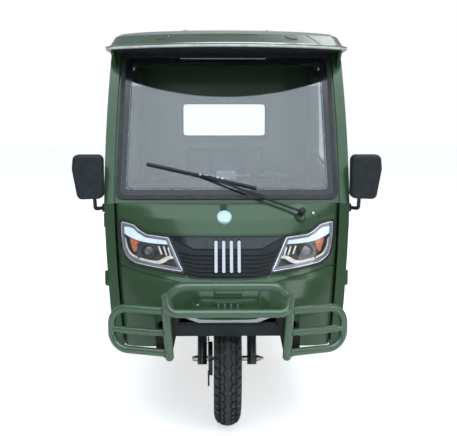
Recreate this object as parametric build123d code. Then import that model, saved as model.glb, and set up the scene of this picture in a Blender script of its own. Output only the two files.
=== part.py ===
"""Electric cargo tricycle: closed cab over one steered front wheel, drop-side bed over two driven wheels.

Millimetres, +Z up. The vehicle faces -Y and +X is its left side. Everything is laid out from the
front axle (y = 0 at the front wheel's centre, y growing rearwards) and moved once, on writing, so that
the origin lies on the ground below the middle of the whole vehicle.
"""

import os
from math import asin, cos, degrees, radians, sin, sqrt, tan

from build123d import *

os.makedirs("parts", exist_ok=True)

# ---------------------------------------------------------------- driving dimensions
fit_gap = 0.3            # between curved faces that seat on each other
pin_gap = 0.05           # radial clearance of a running fit
move_gap = 5.5           # between pieces that move past each other
shut_gap = 7.0           # round doors and body panels

# wheels
tyre_r = 290.0
tyre_w = 118.0
rim_r = 152.0
rim_w = 84.0
flange_h = 13.0
wheelbase = 2150.0
rear_track = 880.0

# steering
rake = 20.0
fork_offset = 35.0
fork_half = 110.0
slider_r = 21.0
stanchion_r = 16.5
steerer_r = 15.0
axle_r = 7.5
axle_half = 148.0
steer_limit = 35.0

# cab
floor_z = 370.0
floor_t = 15.0
cowl_z = 985.0
waist_z = 960.0
cab_top_z = 1640.0
half_floor = 487.0
half_waist = 526.0
half_top = 513.0
wall_t = 42.0
screen_y = -20.0
screen_rake = 20.0
screen_proud = 15.0
cab_rear_y = 1090.0
rear_wall_t = 30.0
firewall_y = 20.0
sheet_t = 12.0
tunnel_half = 290.0
tunnel_top_z = 745.0
tunnel_rear_y = 380.0

# doors
door_front_y = 75.0
door_rear_y = 1050.0
door_sill_z = 430.0
door_top_z = 1600.0
door_limit = 70.0

# roof
roof_lip_half = 530.0
roof_lip_y = -85.0
roof_bow = 155.0
roof_rear_y = 1145.0
roof_lip_h = 15.0
roof_h = 137.0

# chassis
rail_x = 240.0
rail_w = 50.0
front_rail_z = 310.0
arm_z = 405.0
arm_h = 75.0
rear_rail_z = 480.0
rear_rail_h = 80.0

# cargo bed
bed_front_y = 1150.0
bed_rear_y = 2700.0
bed_half = 530.0
bed_floor_z = 610.0
bed_floor_t = 20.0
gate_h = 300.0
gate_t = 25.0
gate_limit = 175.0

# front guard
guard_r = 17.5
guard_y = -350.0
guard_top_z = 688.0
guard_foot_z = 386.0
guard_top_half = 250.0
guard_foot_half = 234.0

front_reach = 438.0                # the guard's front tube, ahead of the front axle
rear_reach = bed_rear_y + 11.0     # the tailgate's hinge barrels, behind the front axle
mid_y = (rear_reach - front_reach) / 2


def write(name, *solids):
    """One node as one STEP file, moved so that the vehicle's middle is the origin."""
    flat = []
    for solid in solids:
        flat += solid.solids()
    moved = [Pos(0, -mid_y, 0) * solid for solid in flat]
    export_step(Compound(children=moved) if len(moved) > 1 else moved[0], f"parts/{name}.step")


def block(x, y, z):
    """A box from its low and high x, y and z."""
    centre = [(low + high) / 2 for low, high in (x, y, z)]
    return Pos(*centre) * Box(*[high - low for low, high in (x, y, z)])


def rod_x(radius, x0, x1, y, z):
    """A round bar along X."""
    return Pos((x0 + x1) / 2, y, z) * Rot(0, 90, 0) * Cylinder(radius, abs(x1 - x0))


def rod_y(radius, x, y0, y1, z):
    """A round bar along Y."""
    return Pos(x, (y0 + y1) / 2, z) * Rot(90, 0, 0) * Cylinder(radius, abs(y1 - y0))


def rod_z(radius, x, y, z0, z1):
    """A round bar along Z."""
    return Pos(x, y, (z0 + z1) / 2) * Cylinder(radius, abs(z1 - z0))


def tube_path(points, bend, radius):
    """A bent round tube along a polyline with rounded corners."""
    path = FilletPolyline(*points, radius=bend) if len(points) > 2 else Line(*points)
    start = Plane(path @ 0, z_dir=path % 0)
    return sweep(start * Circle(radius), path=path)


def both(solid):
    """A piece and its mirror image across the vehicle's middle."""
    return [solid, mirror(solid, about=Plane.YZ)]


def side_profile(points, x0, x1):
    """A (y, z) outline as a solid between two x."""
    face = make_face(Polyline(*points, close=True))
    return extrude(Plane(origin=(x0, 0, 0), x_dir=(0, 1, 0), z_dir=(1, 0, 0)) * face, x1 - x0)


def front_prism(face, y0=-600.0, y1=400.0):
    """An (x, z) face as a solid between two y."""
    placed = Plane(origin=(0, y1, 0), x_dir=(1, 0, 0), z_dir=(0, -1, 0)) * face
    return extrude(placed, y1 - y0)


# ---------------------------------------------------------------- cab cross-section
def cab_half(z):
    """Half the cab's outer width at a height: one arc through floor, waist and roof."""
    centre, radius = arc_centre((half_floor, floor_z), (half_waist, waist_z), (half_top, cab_top_z))
    return centre[0] + sqrt(radius**2 - (z - centre[1]) ** 2)


def arc_centre(a, b, c):
    """Centre and radius of the circle through three points of a plane."""
    d = 2 * (a[0] * (b[1] - c[1]) + b[0] * (c[1] - a[1]) + c[0] * (a[1] - b[1]))
    sq = [p[0] ** 2 + p[1] ** 2 for p in (a, b, c)]
    x = (sq[0] * (b[1] - c[1]) + sq[1] * (c[1] - a[1]) + sq[2] * (a[1] - b[1])) / d
    y = (sq[0] * (c[0] - b[0]) + sq[1] * (a[0] - c[0]) + sq[2] * (b[0] - a[0])) / d
    return (x, y), sqrt((a[0] - x) ** 2 + (a[1] - y) ** 2)


def cab_core(inset, y0, y1, z0=floor_z, z1=cab_top_z):
    """The cab's cross-section, moved in at each side by inset, between two y and two z."""
    low, mid, high = [(cab_half(z) - inset, z) for z in (z0, (z0 + z1) / 2, z1)]
    right = ThreePointArc(low, mid, high)
    top = Line(high, (-high[0], high[1]))
    left = ThreePointArc((-high[0], high[1]), (-mid[0], mid[1]), (-low[0], low[1]))
    base = Line((-low[0], low[1]), low)
    return front_prism(make_face([right, top, left, base]), y0, y1)


def screen_line_y(z, ahead=0.0):
    """Where the windscreen's plane, or one ahead of it, lies at a height."""
    return screen_y + (z - cowl_z) * tan(radians(screen_rake)) - ahead / cos(radians(screen_rake))


# ---------------------------------------------------------------- side frames and doors
foot_y = screen_y - 40.0 - screen_proud
side_outline = [
    (foot_y, floor_z),
    (screen_line_y(cowl_z, screen_proud), cowl_z),
    (screen_line_y(cab_top_z, screen_proud), cab_top_z),
    (cab_rear_y, cab_top_z),
    (cab_rear_y, floor_z),
]
door_slant_y = door_front_y + (door_top_z - cowl_z) * tan(radians(screen_rake))
window_front_y = door_front_y + 75.0
window_rear_y = door_rear_y - 65.0
window_sill_z = 1075.0
window_rise = 75.0
window_top_z = door_top_z - 55.0
door_corner_r = 45.0
glass_t = 4.0
door_face = Polyline(
    (door_front_y, door_sill_z),
    (door_front_y, cowl_z),
    (door_slant_y, door_top_z),
    (door_rear_y, door_top_z),
    (door_rear_y, door_sill_z),
    close=True,
)
window_slant_y = window_front_y + (window_top_z - window_sill_z) * tan(radians(screen_rake))
window_face = Polyline(
    (window_front_y, window_sill_z),
    (window_slant_y, window_top_z),
    (window_rear_y, window_top_z),
    (window_rear_y, window_sill_z + window_rise),
    close=True,
)


def through_side(outline, corner, grow=0.0):
    """A (y, z) outline with round corners, through the cab's left side."""
    face = make_face(outline)
    face = fillet(face.vertices(), corner)
    if grow:
        face = offset(face, grow)
    placed = Plane(origin=(300, 0, 0), x_dir=(0, 1, 0), z_dir=(1, 0, 0)) * face
    return extrude(placed, 400)


hinge_x = half_waist + 10.0
hinge_y = door_front_y + shut_gap / 2
hinge_r = 9.0
hinge_pin_r = 5.0
hinge_levels = (640.0, 900.0)
knuckle_h = 30.0
leaf_len = 32.0
leaf_t = 6.0

wall = cab_core(0, -200, cab_rear_y) - cab_core(wall_t, -200, cab_rear_y)
wall = wall & side_profile(side_outline, 300, 700)
side_frame = wall - through_side(door_face, door_corner_r)
door = wall & through_side(door_face, door_corner_r, -shut_gap)
window_cut = through_side(window_face, door_corner_r)
door = door - window_cut
mid_wall = (wall_t - glass_t) / 2
door_glass = cab_core(mid_wall, -200, cab_rear_y) - cab_core(mid_wall + glass_t, -200, cab_rear_y)
door_glass = door_glass & window_cut
for level in hinge_levels:
    skin_x = cab_half(level - knuckle_h)
    frame_leaf = block((skin_x - 4, hinge_x), (hinge_y - leaf_len, hinge_y), (level - knuckle_h, level - 0.5))
    frame_leaf = frame_leaf - cab_core(wall_t / 2, -200, 400)
    door_leaf = block((skin_x - 4, hinge_x), (hinge_y, hinge_y + leaf_len), (level + 0.5, level + knuckle_h))
    pin = rod_z(hinge_pin_r, hinge_x, hinge_y, level - knuckle_h, level + knuckle_h + 3)
    side_frame = side_frame + frame_leaf + rod_z(hinge_r, hinge_x, hinge_y, level - knuckle_h, level - 0.5)
    side_frame = side_frame + pin
    door = door + door_leaf + rod_z(hinge_r, hinge_x, hinge_y, level + 0.5, level + knuckle_h)
    door = door - rod_z(hinge_pin_r + pin_gap, hinge_x, hinge_y, level - knuckle_h, level + knuckle_h + 3)

for name, piece in (("side_frame", side_frame), ("door", door), ("door_glass", door_glass)):
    left, right = both(piece)
    write(f"{name}_left", left)
    write(f"{name}_right", right)

# ---------------------------------------------------------------- rear wall and its window
rear_window_half = 236.0
rear_window_z = (1250.0, 1436.0)
rear_window_r = 22.0
window_mid_z = sum(rear_window_z) / 2
window_h = rear_window_z[1] - rear_window_z[0]
opening = Pos(0, window_mid_z) * RectangleRounded(2 * rear_window_half, window_h, rear_window_r)
rear_wall = cab_core(0, cab_rear_y, cab_rear_y + rear_wall_t)
rear_cut = front_prism(opening, cab_rear_y - 1, cab_rear_y + rear_wall_t + 1)
write("rear_panel", rear_wall - rear_cut)
glass_y = cab_rear_y + rear_wall_t / 2
write("rear_window", rear_cut & block((-400, 400), (glass_y - glass_t / 2, glass_y + glass_t / 2), (1000, 1600)))

# ---------------------------------------------------------------- windscreen
screen_plane = Plane(
    origin=(0, screen_y, cowl_z),
    x_dir=(1, 0, 0),
    z_dir=(0, -cos(radians(screen_rake)), sin(radians(screen_rake))),
)
screen_frame_t = 30.0
screen_rim = 48.0
seal_w = 18.0
seal_t = 8.0
screen_len = (cab_top_z - cowl_z) / cos(radians(screen_rake))
screen_inner = cab_core(wall_t + fit_gap, -200, 500, cowl_z, cab_top_z)


def screen_slab(half, low, high, back, front, corner=0.0):
    """A slab parallel to the windscreen: half width, low and high edge up the slope, back and front face."""
    mid = (low + high) / 2
    face = RectangleRounded(2 * half, high - low, corner) if corner else Rectangle(2 * half, high - low)
    return extrude(screen_plane * Pos(0, mid, back) * face, front - back)


seal_half = cab_half(cowl_z) - wall_t - 4.0
seal_top_half = cab_half(cab_top_z) - wall_t - 4.0
seal_low = 16.0
seal_high = screen_len - 6.0


def seal_outline(inset):
    """The windscreen's outline, narrower at the top, with round corners."""
    half_low = seal_half - inset
    half_high = seal_top_half - inset
    outline = Polyline(
        (-half_low, seal_low + inset),
        (half_low, seal_low + inset),
        (half_high, seal_high - inset),
        (-half_high, seal_high - inset),
        close=True,
    )
    face = make_face(outline)
    return fillet(face.vertices(), 34.0)


screen_frame = screen_slab(600, -60, screen_len + 60, -screen_frame_t, 0) & screen_inner
frame_hole = extrude(screen_plane * Pos(0, 0, -60) * seal_outline(screen_rim), 100)
write("windscreen_frame", screen_frame - frame_hole)
seal_outer = extrude(screen_plane * seal_outline(0), seal_t)
seal_hole = extrude(screen_plane * Pos(0, 0, -1) * seal_outline(seal_w), 20)
write("windscreen_seal", seal_outer - seal_hole)
write("windscreen", extrude(screen_plane * seal_outline(seal_w), glass_t))

# ---------------------------------------------------------------- front panel
# Plan arcs at rising heights: (height, how far ahead of the edge the middle lies).
panel_levels = [
    (floor_z + 5.0, 205.0),
    (520.0, 205.0),
    (600.0, 190.0),
    (672.0, 168.0),
    (692.0, 152.0),
    (855.0, 105.0),
    (925.0, 78.0),
    (cowl_z, 34.0),
]
panel_t = 20.0
deck_t = 20.0


def panel_edge_y(z):
    """The front panel's y at its side edges."""
    share = (z - floor_z) / (cowl_z - floor_z)
    return foot_y + share * (screen_y - foot_y) + 4.0


def panel_section(z, bulge):
    """The front panel's closed plan outline at one height."""
    half = cab_half(z) - wall_t - shut_gap
    edge = panel_edge_y(z)
    front = ThreePointArc((-half, edge), (0, edge - bulge), (half, edge))
    back = Polyline((half, edge), (half, firewall_y), (-half, firewall_y), (-half, edge))
    return Pos(0, 0, z) * make_face([front, back])


panel_form = loft([panel_section(z, bulge) for z, bulge in panel_levels], ruled=True)


def panel_skin(back, front):
    """The layer between the front panel's surface moved back and moved forward."""
    return Pos(0, -front, 0) * panel_form - Pos(0, -back, 0) * panel_form


# Headlamp and grille outlines, left side, as (x, z).
lamp_inner_top = (245.0, 854.0)
lamp_inner_low = (174.0, 703.0)
lamp_shoulder = (342.0, 864.0)
lamp_peak = (453.0, 914.0)
lamp_tip = (464.0, 905.0)
lamp_side = (461.0, 841.0)
lamp_bend = (397.0, 902.0)
lamp_heel = (397.0, 730.0)
grille_foot = (160.0, 688.0)


def lamp_outline():
    """The headlamp seen from the front: a wing that narrows to the grille."""
    lower = Polyline(lamp_inner_top, lamp_inner_low, (319.0, 719.0), lamp_heel)
    outer = ThreePointArc(lamp_heel, (444.0, 764.0), lamp_side)
    upper = Polyline(lamp_side, lamp_tip, lamp_peak, lamp_bend, (370.0, 879.0), lamp_shoulder, lamp_inner_top)
    return make_face([lower, outer, upper])


lamp_wall = 6.0
lamp_depth = 40.0
lamp_face = lamp_outline()
lamp_prism = front_prism(lamp_face)
lamp_core = front_prism(offset(lamp_face, -lamp_wall))
lens_back = -4.0
lens_front = 3.0
lamp_shell = lamp_prism & panel_skin(-lamp_depth, lens_back)
lamp_hollow = lamp_core & panel_skin(-lamp_depth + lamp_wall, 30)
write("headlamp_housings", *both(lamp_shell - lamp_hollow))
write("headlamp_lenses", *both(lamp_prism & panel_skin(lens_back, lens_front)))


def mirrored_face(points):
    """A face symmetric about the middle, from the (x, z) points of its left half in order."""
    left = list(points)
    right = [(-x, z) for x, z in reversed(points)]
    return make_face(Polyline(*left, *right, close=True))


lamp_lean = (lamp_inner_top[0] - lamp_inner_low[0]) / (lamp_inner_top[1] - lamp_inner_low[1])
grille_face = mirrored_face([lamp_inner_top, lamp_inner_low, grille_foot])
grille_prism = front_prism(grille_face)

# Nose: the wheel opening below it, and its pale lip.
arch_half = tunnel_half + 6.0
nose_z = 517.0
nose_half = 115.0
nose_shoulder = (210.0, 545.0)
arch_top_z = 500.0
arch_points = [(nose_half, nose_z), nose_shoulder, (arch_half, arch_top_z), (arch_half, 300.0)]
arch_face = mirrored_face(arch_points)
lobe_points = Polyline((arch_half - 1, 350), (arch_half - 1, 402), (460, floor_z), (460, 350), close=True)
lobe_rise = make_face(lobe_points)
lip_h = 13.0
lip_t = 9.0
lip_points = [(nose_half, nose_z + lip_h), (nose_shoulder[0], nose_shoulder[1] + lip_h), nose_shoulder]
lip_prism = front_prism(mirrored_face([*lip_points, (nose_half, nose_z)]))

deck = panel_form & block((-600, 600), (-400, 400), (cowl_z - deck_t, cowl_z))
front_panel = panel_skin(-panel_t, 0) + deck
front_panel = front_panel - front_prism(arch_face) - grille_prism
for cut in both(lamp_prism) + both(front_prism(lobe_rise)):
    front_panel = front_panel - cut
write("front_panel", front_panel)
write("nose_trim", lip_prism & panel_skin(0, lip_t))

# ---------------------------------------------------------------- grille and its four bright bars
bar_pitch = 32.0
bar_w = 12.7
bar_z = (713.0, 840.0)
bar_front = 9.0
slot_w = 20.0
grille_back = -18.0
grille_floor = -5.0
slat_h = 5.0
slat_bend = 50.0
slat_rise = 12.0
slat_pitch = 16.5
slat_count = 6
slat_low_z = 703.0
band_z = 806.0
band_low_half = 142.0
grille = grille_prism & panel_skin(grille_back, grille_floor)
band = front_prism(mirrored_face([(232.0, 848.0), (band_low_half, band_z)])) & panel_skin(grille_floor, 1)
grille = grille + band
for row in range(slat_count):
    z = slat_low_z + row * slat_pitch
    half = lamp_inner_low[0] + (z - lamp_inner_low[1]) * lamp_lean - 8.0
    slat_face = mirrored_face(
        [
            (half - slat_bend, z - slat_h),
            (half, z + slat_rise - slat_h),
            (half, z + slat_rise),
            (half - slat_bend, z),
        ]
    )
    grille = grille + (front_prism(slat_face) & panel_skin(grille_floor, 2) & grille_prism)
bars = []
slots = []
for place in (-1.5, -0.5, 0.5, 1.5):
    mid_z = sum(bar_z) / 2
    bar_h = bar_z[1] - bar_z[0]
    spot = Pos(place * bar_pitch, mid_z)
    bar = front_prism(spot * RectangleRounded(bar_w, bar_h, 5)) & panel_skin(grille_floor, bar_front)
    slot = front_prism(spot * RectangleRounded(slot_w, bar_h + slot_w - bar_w, 9)) & panel_skin(grille_floor, 5)
    bars.append(bar)
    slots.append(slot)
for slot in slots:
    grille = grille - slot
write("grille", grille)
write("grille_bars", *bars)

# ---------------------------------------------------------------- roof
roof_levels = [
    # height above the cab's top, side inset, front inset, rear inset, corner radius
    (0.0, 9.0, 10.0, 10.0, 85.0),
    (roof_lip_h, 0.0, 0.0, 0.0, 90.0),
    (21.0, 20.0, 20.0, 12.0, 90.0),
    (62.0, 38.0, 75.0, 30.0, 90.0),
    (80.0, 54.0, 150.0, 45.0, 90.0),
    (98.0, 78.0, 290.0, 65.0, 90.0),
    (115.0, 116.0, 430.0, 95.0, 90.0),
    (129.0, 205.0, 560.0, 160.0, 90.0),
]


def roof_section(height, side, front, rear, corner):
    """The roof's plan outline at one height: a bowed front edge and round corners."""
    half = roof_lip_half - side
    near = roof_lip_y + front
    far = roof_rear_y - rear
    bow = roof_bow * (half / roof_lip_half) ** 2
    edge = ThreePointArc((-half, near + bow), (0, near), (half, near + bow))
    rest = Polyline((half, near + bow), (half, far), (-half, far), (-half, near + bow))
    face = make_face([edge, rest])
    return Pos(0, 0, cab_top_z + height) * fillet(face.vertices(), corner)


roof = loft([roof_section(*level) for level in roof_levels], ruled=True)
crown_y = (roof_lip_y + 600.0, roof_rear_y - 190.0)
crown_half = 232.0
crown_low = cab_top_z + roof_levels[-1][0]
crown_len = crown_y[1] - crown_y[0]
crown = Pos(0, sum(crown_y) / 2, 0) * RectangleRounded(2 * crown_half, crown_len, 50)
crown_top = Pos(0, sum(crown_y) / 2, 0) * RectangleRounded(2 * crown_half - 30, crown_len - 30, 40)
roof = roof + loft([Pos(0, 0, crown_low) * crown, Pos(0, 0, cab_top_z + roof_h) * crown_top], ruled=True)
hollow_front_y = screen_line_y(cab_top_z) + 32.0
hollow = [
    (0.0, 0.0),
    (50.0, 20.0),
    (80.0, 70.0),
]
hollow_faces = []
for height, inset in hollow:
    half = half_top - wall_t - inset
    length = cab_rear_y - hollow_front_y - 2 * inset
    hollow_faces.append(
        Pos(0, (cab_rear_y + hollow_front_y) / 2, cab_top_z + height) * RectangleRounded(2 * half, length, 30)
    )
roof = roof - loft(hollow_faces, ruled=True)
write("roof", roof)

# ---------------------------------------------------------------- cab floor, wheel tunnel and firewall
inner = wall_t + fit_gap
floor = cab_core(inner, firewall_y, cab_rear_y, floor_z, floor_z + floor_t)
firewall = cab_core(inner, firewall_y, firewall_y + sheet_t, floor_z, cowl_z)
tunnel = block(
    (-tunnel_half - sheet_t, tunnel_half + sheet_t),
    (firewall_y, tunnel_rear_y + sheet_t),
    (floor_z, tunnel_top_z + sheet_t),
)
tunnel_hole = block((-tunnel_half, tunnel_half), (firewall_y - 1, tunnel_rear_y), (floor_z - 1, tunnel_top_z))


def steering_place(x, back, up):
    """A place in the fork's own frame: x, behind the fork legs, and up along them from the axle."""
    return Pos(0, 0, tyre_r) * Rot(-rake, 0, 0) * Pos(x, back, up)


def column(radius, low, high):
    """A round bar on the steering axis."""
    return steering_place(0, fork_offset, (low + high) / 2) * Cylinder(radius, high - low)


tub = floor + firewall + tunnel - tunnel_hole
tub = tub - column(steerer_r + 20.0, 440, 560)
write("cab_floor", tub)

# ---------------------------------------------------------------- chassis
rail = (rail_x, rail_x + rail_w)
riser = 50.0
kick_y = (1130.0, 1190.0)
rail_rear_y = 2690.0
head_low = 362.0
head_high = 478.0
head_r = 28.0
beam = 60.0
beam_z = 670.0
beam_y = 155.0
pad_out = guard_foot_half + 1.0
pad_setback = 8.0
bracket_in = 197.0
bracket_z = (394.0, 554.0)
bracket_front_y = guard_y + guard_r + fit_gap
bracket_t = 45.0
arm_front_y = bracket_front_y + bracket_t - 18.0
cross_z = (482.0, 526.0)
left_half = block(rail, (tunnel_rear_y - riser, kick_y[1]), (front_rail_z, floor_z))
left_half += block(rail, (tunnel_rear_y - riser, tunnel_rear_y), (front_rail_z, arm_z + arm_h))
left_half += block(rail, (arm_front_y, tunnel_rear_y), (arm_z, arm_z + arm_h))
left_half += block(rail, kick_y, (front_rail_z, rear_rail_z + rear_rail_h))
left_half += block(rail, (kick_y[0], rail_rear_y), (rear_rail_z, rear_rail_z + rear_rail_h))
left_half += block(rail, (beam_y, beam_y + beam), (arm_z, beam_z + beam))
bracket = Polyline(
    (pad_out, bracket_z[0]),
    (pad_out - 8.0, bracket_z[0]),
    (bracket_in, bracket_z[1] - 20.0),
    (bracket_in, bracket_z[1]),
    (pad_out, bracket_z[1]),
    close=True,
)
left_half += front_prism(make_face(bracket), bracket_front_y, bracket_front_y + bracket_t)
web_y = (bracket_front_y + pad_setback, bracket_front_y + bracket_t)
left_half += block((pad_out - 6.0, rail_x + 2.0), web_y, bracket_z)
chassis = left_half + mirror(left_half, about=Plane.YZ)
across = (-rail[1], rail[1])
chassis += block(across, (tunnel_rear_y - riser, tunnel_rear_y), (front_rail_z, floor_z))
chassis += block(across, kick_y, (front_rail_z, floor_z))
chassis += block(across, (rail_rear_y - 40.0, rail_rear_y), (rear_rail_z, rear_rail_z + rear_rail_h))
chassis += block((-rail_x, rail_x), (bracket_front_y + 5.0, bracket_front_y + bracket_t), cross_z)
chassis += block(across, (beam_y, beam_y + beam), (beam_z, beam_z + beam))
chassis += column(head_r, head_low, head_high)
chassis -= column(steerer_r + pin_gap, head_low - 40, head_high + 60)
hitch_hole_r = 6.5
hitch_x = 110.0
hitch_z = 44.0
for sx in (-1, 1):
    for sz in (-1, 1):
        hole_z = rear_rail_z + rear_rail_h / 2 + sz * hitch_z / 2
        chassis -= rod_y(hitch_hole_r, sx * hitch_x / 2, rail_rear_y - 60, rail_rear_y + 20, hole_z)
write("chassis_frame", chassis)

# ---------------------------------------------------------------- front guard
leg_top = (guard_top_half, guard_y, guard_top_z)
leg_foot = (guard_foot_half, guard_y, guard_foot_z + guard_r)
hoop = tube_path(
    [leg_foot, leg_top, (-leg_top[0], leg_top[1], leg_top[2]), (-leg_foot[0], leg_foot[1], leg_foot[2])],
    82.0,
    guard_r,
)
for end in both(Pos(*leg_foot) * Sphere(guard_r)):
    hoop += end
nose_bar_y = -front_reach + guard_r
nose_bar_z = 597.0
nose_bar_half = 222.0
weld_z = 652.0
nose_bar = tube_path(
    [
        (guard_top_half - 3, guard_y, weld_z),
        (nose_bar_half, nose_bar_y, nose_bar_z),
        (-nose_bar_half, nose_bar_y, nose_bar_z),
        (3 - guard_top_half, guard_y, weld_z),
    ],
    34.0,
    guard_r,
)
guard = hoop + nose_bar
write("front_guard", guard)

loop_r = 16.0
loop_x = 487.0 - loop_r
loop_back = 78.0
loop_z = (419.0, 500.0, 590.0)


def leg_x(z):
    """The guard leg's centre at a height."""
    share = (z - guard_foot_z) / (guard_top_z - guard_foot_z)
    return guard_foot_half + share * (guard_top_half - guard_foot_half)


loop = tube_path(
    [
        (leg_x(loop_z[2]), guard_y, loop_z[2]),
        (loop_x, guard_y + loop_back, loop_z[2]),
        (loop_x, guard_y + loop_back, loop_z[0]),
        (leg_x(loop_z[0]), guard_y, loop_z[0]),
    ],
    70.0,
    loop_r,
)
loop += tube_path([(leg_x(loop_z[1]), guard_y, loop_z[1]), (loop_x, guard_y + loop_back, loop_z[1])], 0, loop_r - 2)
leg_core = Plane(leg_foot, z_dir=Vector(*leg_top) - Vector(*leg_foot))
leg_clear = extrude(leg_core.offset(-100) * Circle(guard_r + fit_gap), 500)
inner_side = block((0, guard_foot_half), (guard_y - 100, guard_y + 100), (300, 800))
loop = (loop - leg_clear - inner_side).solids().sort_by(SortBy.VOLUME)[-1]
write("side_guards", *both(loop))

# ---------------------------------------------------------------- door mirrors
head_x = (522.0, 652.0)
head_z = (1007.0, 1196.0)
head_y = -75.0
head_t = 52.0
mirror_shape = Polyline(
    (head_x[0], head_z[0] + 4),
    (head_x[0], head_z[1]),
    (head_x[1] - 6, head_z[1]),
    (head_x[1], head_z[1] - 60),
    (head_x[1] - 22, head_z[0]),
    close=True,
)
mirror_face = fillet(make_face(mirror_shape).vertices(), 24.0)
head = front_prism(mirror_face, head_y - head_t / 2, head_y + head_t / 2)
head = fillet(head.faces().sort_by(Axis.Y)[0].edges(), 14.0)
stem_x = 561.0
arm_z_mirror = 965.0
arm_root_y = screen_line_y(arm_z_mirror, screen_proud) + 30.0
stem = tube_path(
    [
        (cab_half(arm_z_mirror) + fit_gap, arm_root_y, arm_z_mirror),
        (stem_x, head_y + 20, arm_z_mirror),
        (stem_x, head_y, head_z[0] + 20),
    ],
    12.0,
    8.0,
)
foot = rod_x(18.0, cab_half(arm_z_mirror) - 6, cab_half(arm_z_mirror) + 10, arm_root_y, arm_z_mirror)
stem = stem + foot - cab_core(-fit_gap, -200, 400)
write("mirrors", *both(head + stem))

# ---------------------------------------------------------------- windscreen wiper and washer nozzle
pivot_x = 317.0
blade_ends = ((-348.0, 174.0), (128.0, 64.0))
blade_mid = ((blade_ends[0][0] + blade_ends[1][0]) / 2, (blade_ends[0][1] + blade_ends[1][1]) / 2)
blade_len = sqrt((blade_ends[1][0] - blade_ends[0][0]) ** 2 + (blade_ends[1][1] - blade_ends[0][1]) ** 2)
blade_turn = degrees(asin((blade_ends[1][1] - blade_ends[0][1]) / blade_len))
blade_low = glass_t + 0.5
blade_plane = screen_plane * Pos(*blade_mid, blade_low) * Rot(0, 0, blade_turn)
blade = extrude(blade_plane * Rectangle(blade_len, 9.0), 15.0)
arm_points = [(pivot_x, -50.0, 50.0), (pivot_x - 50, -31.0, 46.0), (*blade_mid, blade_low + 19.0)]
arm = tube_path([screen_plane.from_local_coords(Vector(*p)) for p in arm_points], 30.0, 5.0)
boss = extrude(screen_plane * Pos(pivot_x, -50, 10) * Circle(13.0), 46.0)
wiper = blade + arm + boss
wiper = wiper - Pos(0, -fit_gap, 0) * panel_form
nozzle_face = make_face(Polyline((-26.0, 948.0), (-29.0, 982.0), (-1.0, 982.0), (-4.0, 948.0), close=True))
nozzle = front_prism(nozzle_face) & panel_skin(0, 10)
write("wiper", wiper.solids().sort_by(SortBy.VOLUME)[-1], nozzle)

# ---------------------------------------------------------------- dashboard
dash_front = firewall_y + sheet_t
dash_points = [
    (dash_front, 860.0),
    (dash_front + 130.0, 880.0),
    (dash_front + 150.0, 960.0),
    (dash_front + 118.0, 1016.0),
    (dash_front + 30.0, 1022.0),
    (dash_front, cowl_z),
]
dash = side_profile(dash_points, -500, 500) & cab_core(inner + 1.0, 0, 400)
cluster_points = [
    (dash_front + 50.0, 1010.0),
    (dash_front + 110.0, 1010.0),
    (dash_front + 96.0, 1066.0),
    (dash_front + 70.0, 1070.0),
]
cluster = side_profile(cluster_points, -110, 110)
write("dashboard", dash + cluster)

# ---------------------------------------------------------------- seat and battery
seat_top = 690.0
seat_half = 262.0
seat_front_y = 640.0
base = block((-seat_half, seat_half), (seat_front_y, cab_rear_y), (floor_z + floor_t, seat_top))
base -= block(
    (sheet_t - seat_half, seat_half - sheet_t),
    (seat_front_y + sheet_t, cab_rear_y - sheet_t),
    (floor_z + floor_t - 1, seat_top - sheet_t),
)
write("seat_base", base)
write("battery", block((-210, 210), (seat_front_y + 60, seat_front_y + 380), (floor_z + floor_t, floor_z + 245)))
cushion = block((-250, 250), (seat_front_y - 20, cab_rear_y - 66), (seat_top + fit_gap, seat_top + 84))
write("seat_cushion", fillet(cushion.edges(), 26.0))
backrest = block((-235, 235), (cab_rear_y - 64, cab_rear_y - fit_gap), (seat_top + 108, 1205))
write("seat_backrest", fillet(backrest.edges(), 24.0))

# ---------------------------------------------------------------- wheels
bead_half = rim_w / 2
hub_r = 34.0
drum_r = 78.0
spoke_t = 14.0
spoke_count = 5


def ring_about_x(points):
    """A solid turned about X from an (x, r) outline."""
    face = make_face(Polyline(*points, close=True))
    return revolve(Plane.XY * face, axis=Axis.X)


def tyre():
    """A tyre with round shoulders, seated on the rim's two beads."""
    half = tyre_w / 2
    seat = rim_r + fit_gap
    bead = rim_r + flange_h + 2
    shoulder = tyre_r - 55
    crown = tyre_r - 14
    right = [
        Polyline((0, seat), (bead_half, seat), (bead_half, bead)),
        Spline((bead_half, bead), (half, shoulder), tangents=((1, 1.6), (0, 1))),
        ThreePointArc((half, shoulder), (half - 5, shoulder + 24), (half - 19, crown)),
        ThreePointArc((half - 19, crown), (0, tyre_r), (19 - half, crown)),
    ]
    left = [
        ThreePointArc((19 - half, crown), (5 - half, shoulder + 24), (-half, shoulder)),
        Spline((-half, shoulder), (-bead_half, bead), tangents=((0, -1), (1, -1.6))),
        Polyline((-bead_half, bead), (-bead_half, seat), (0, seat)),
    ]
    return revolve(make_face(right + left), axis=Axis.X)


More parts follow.
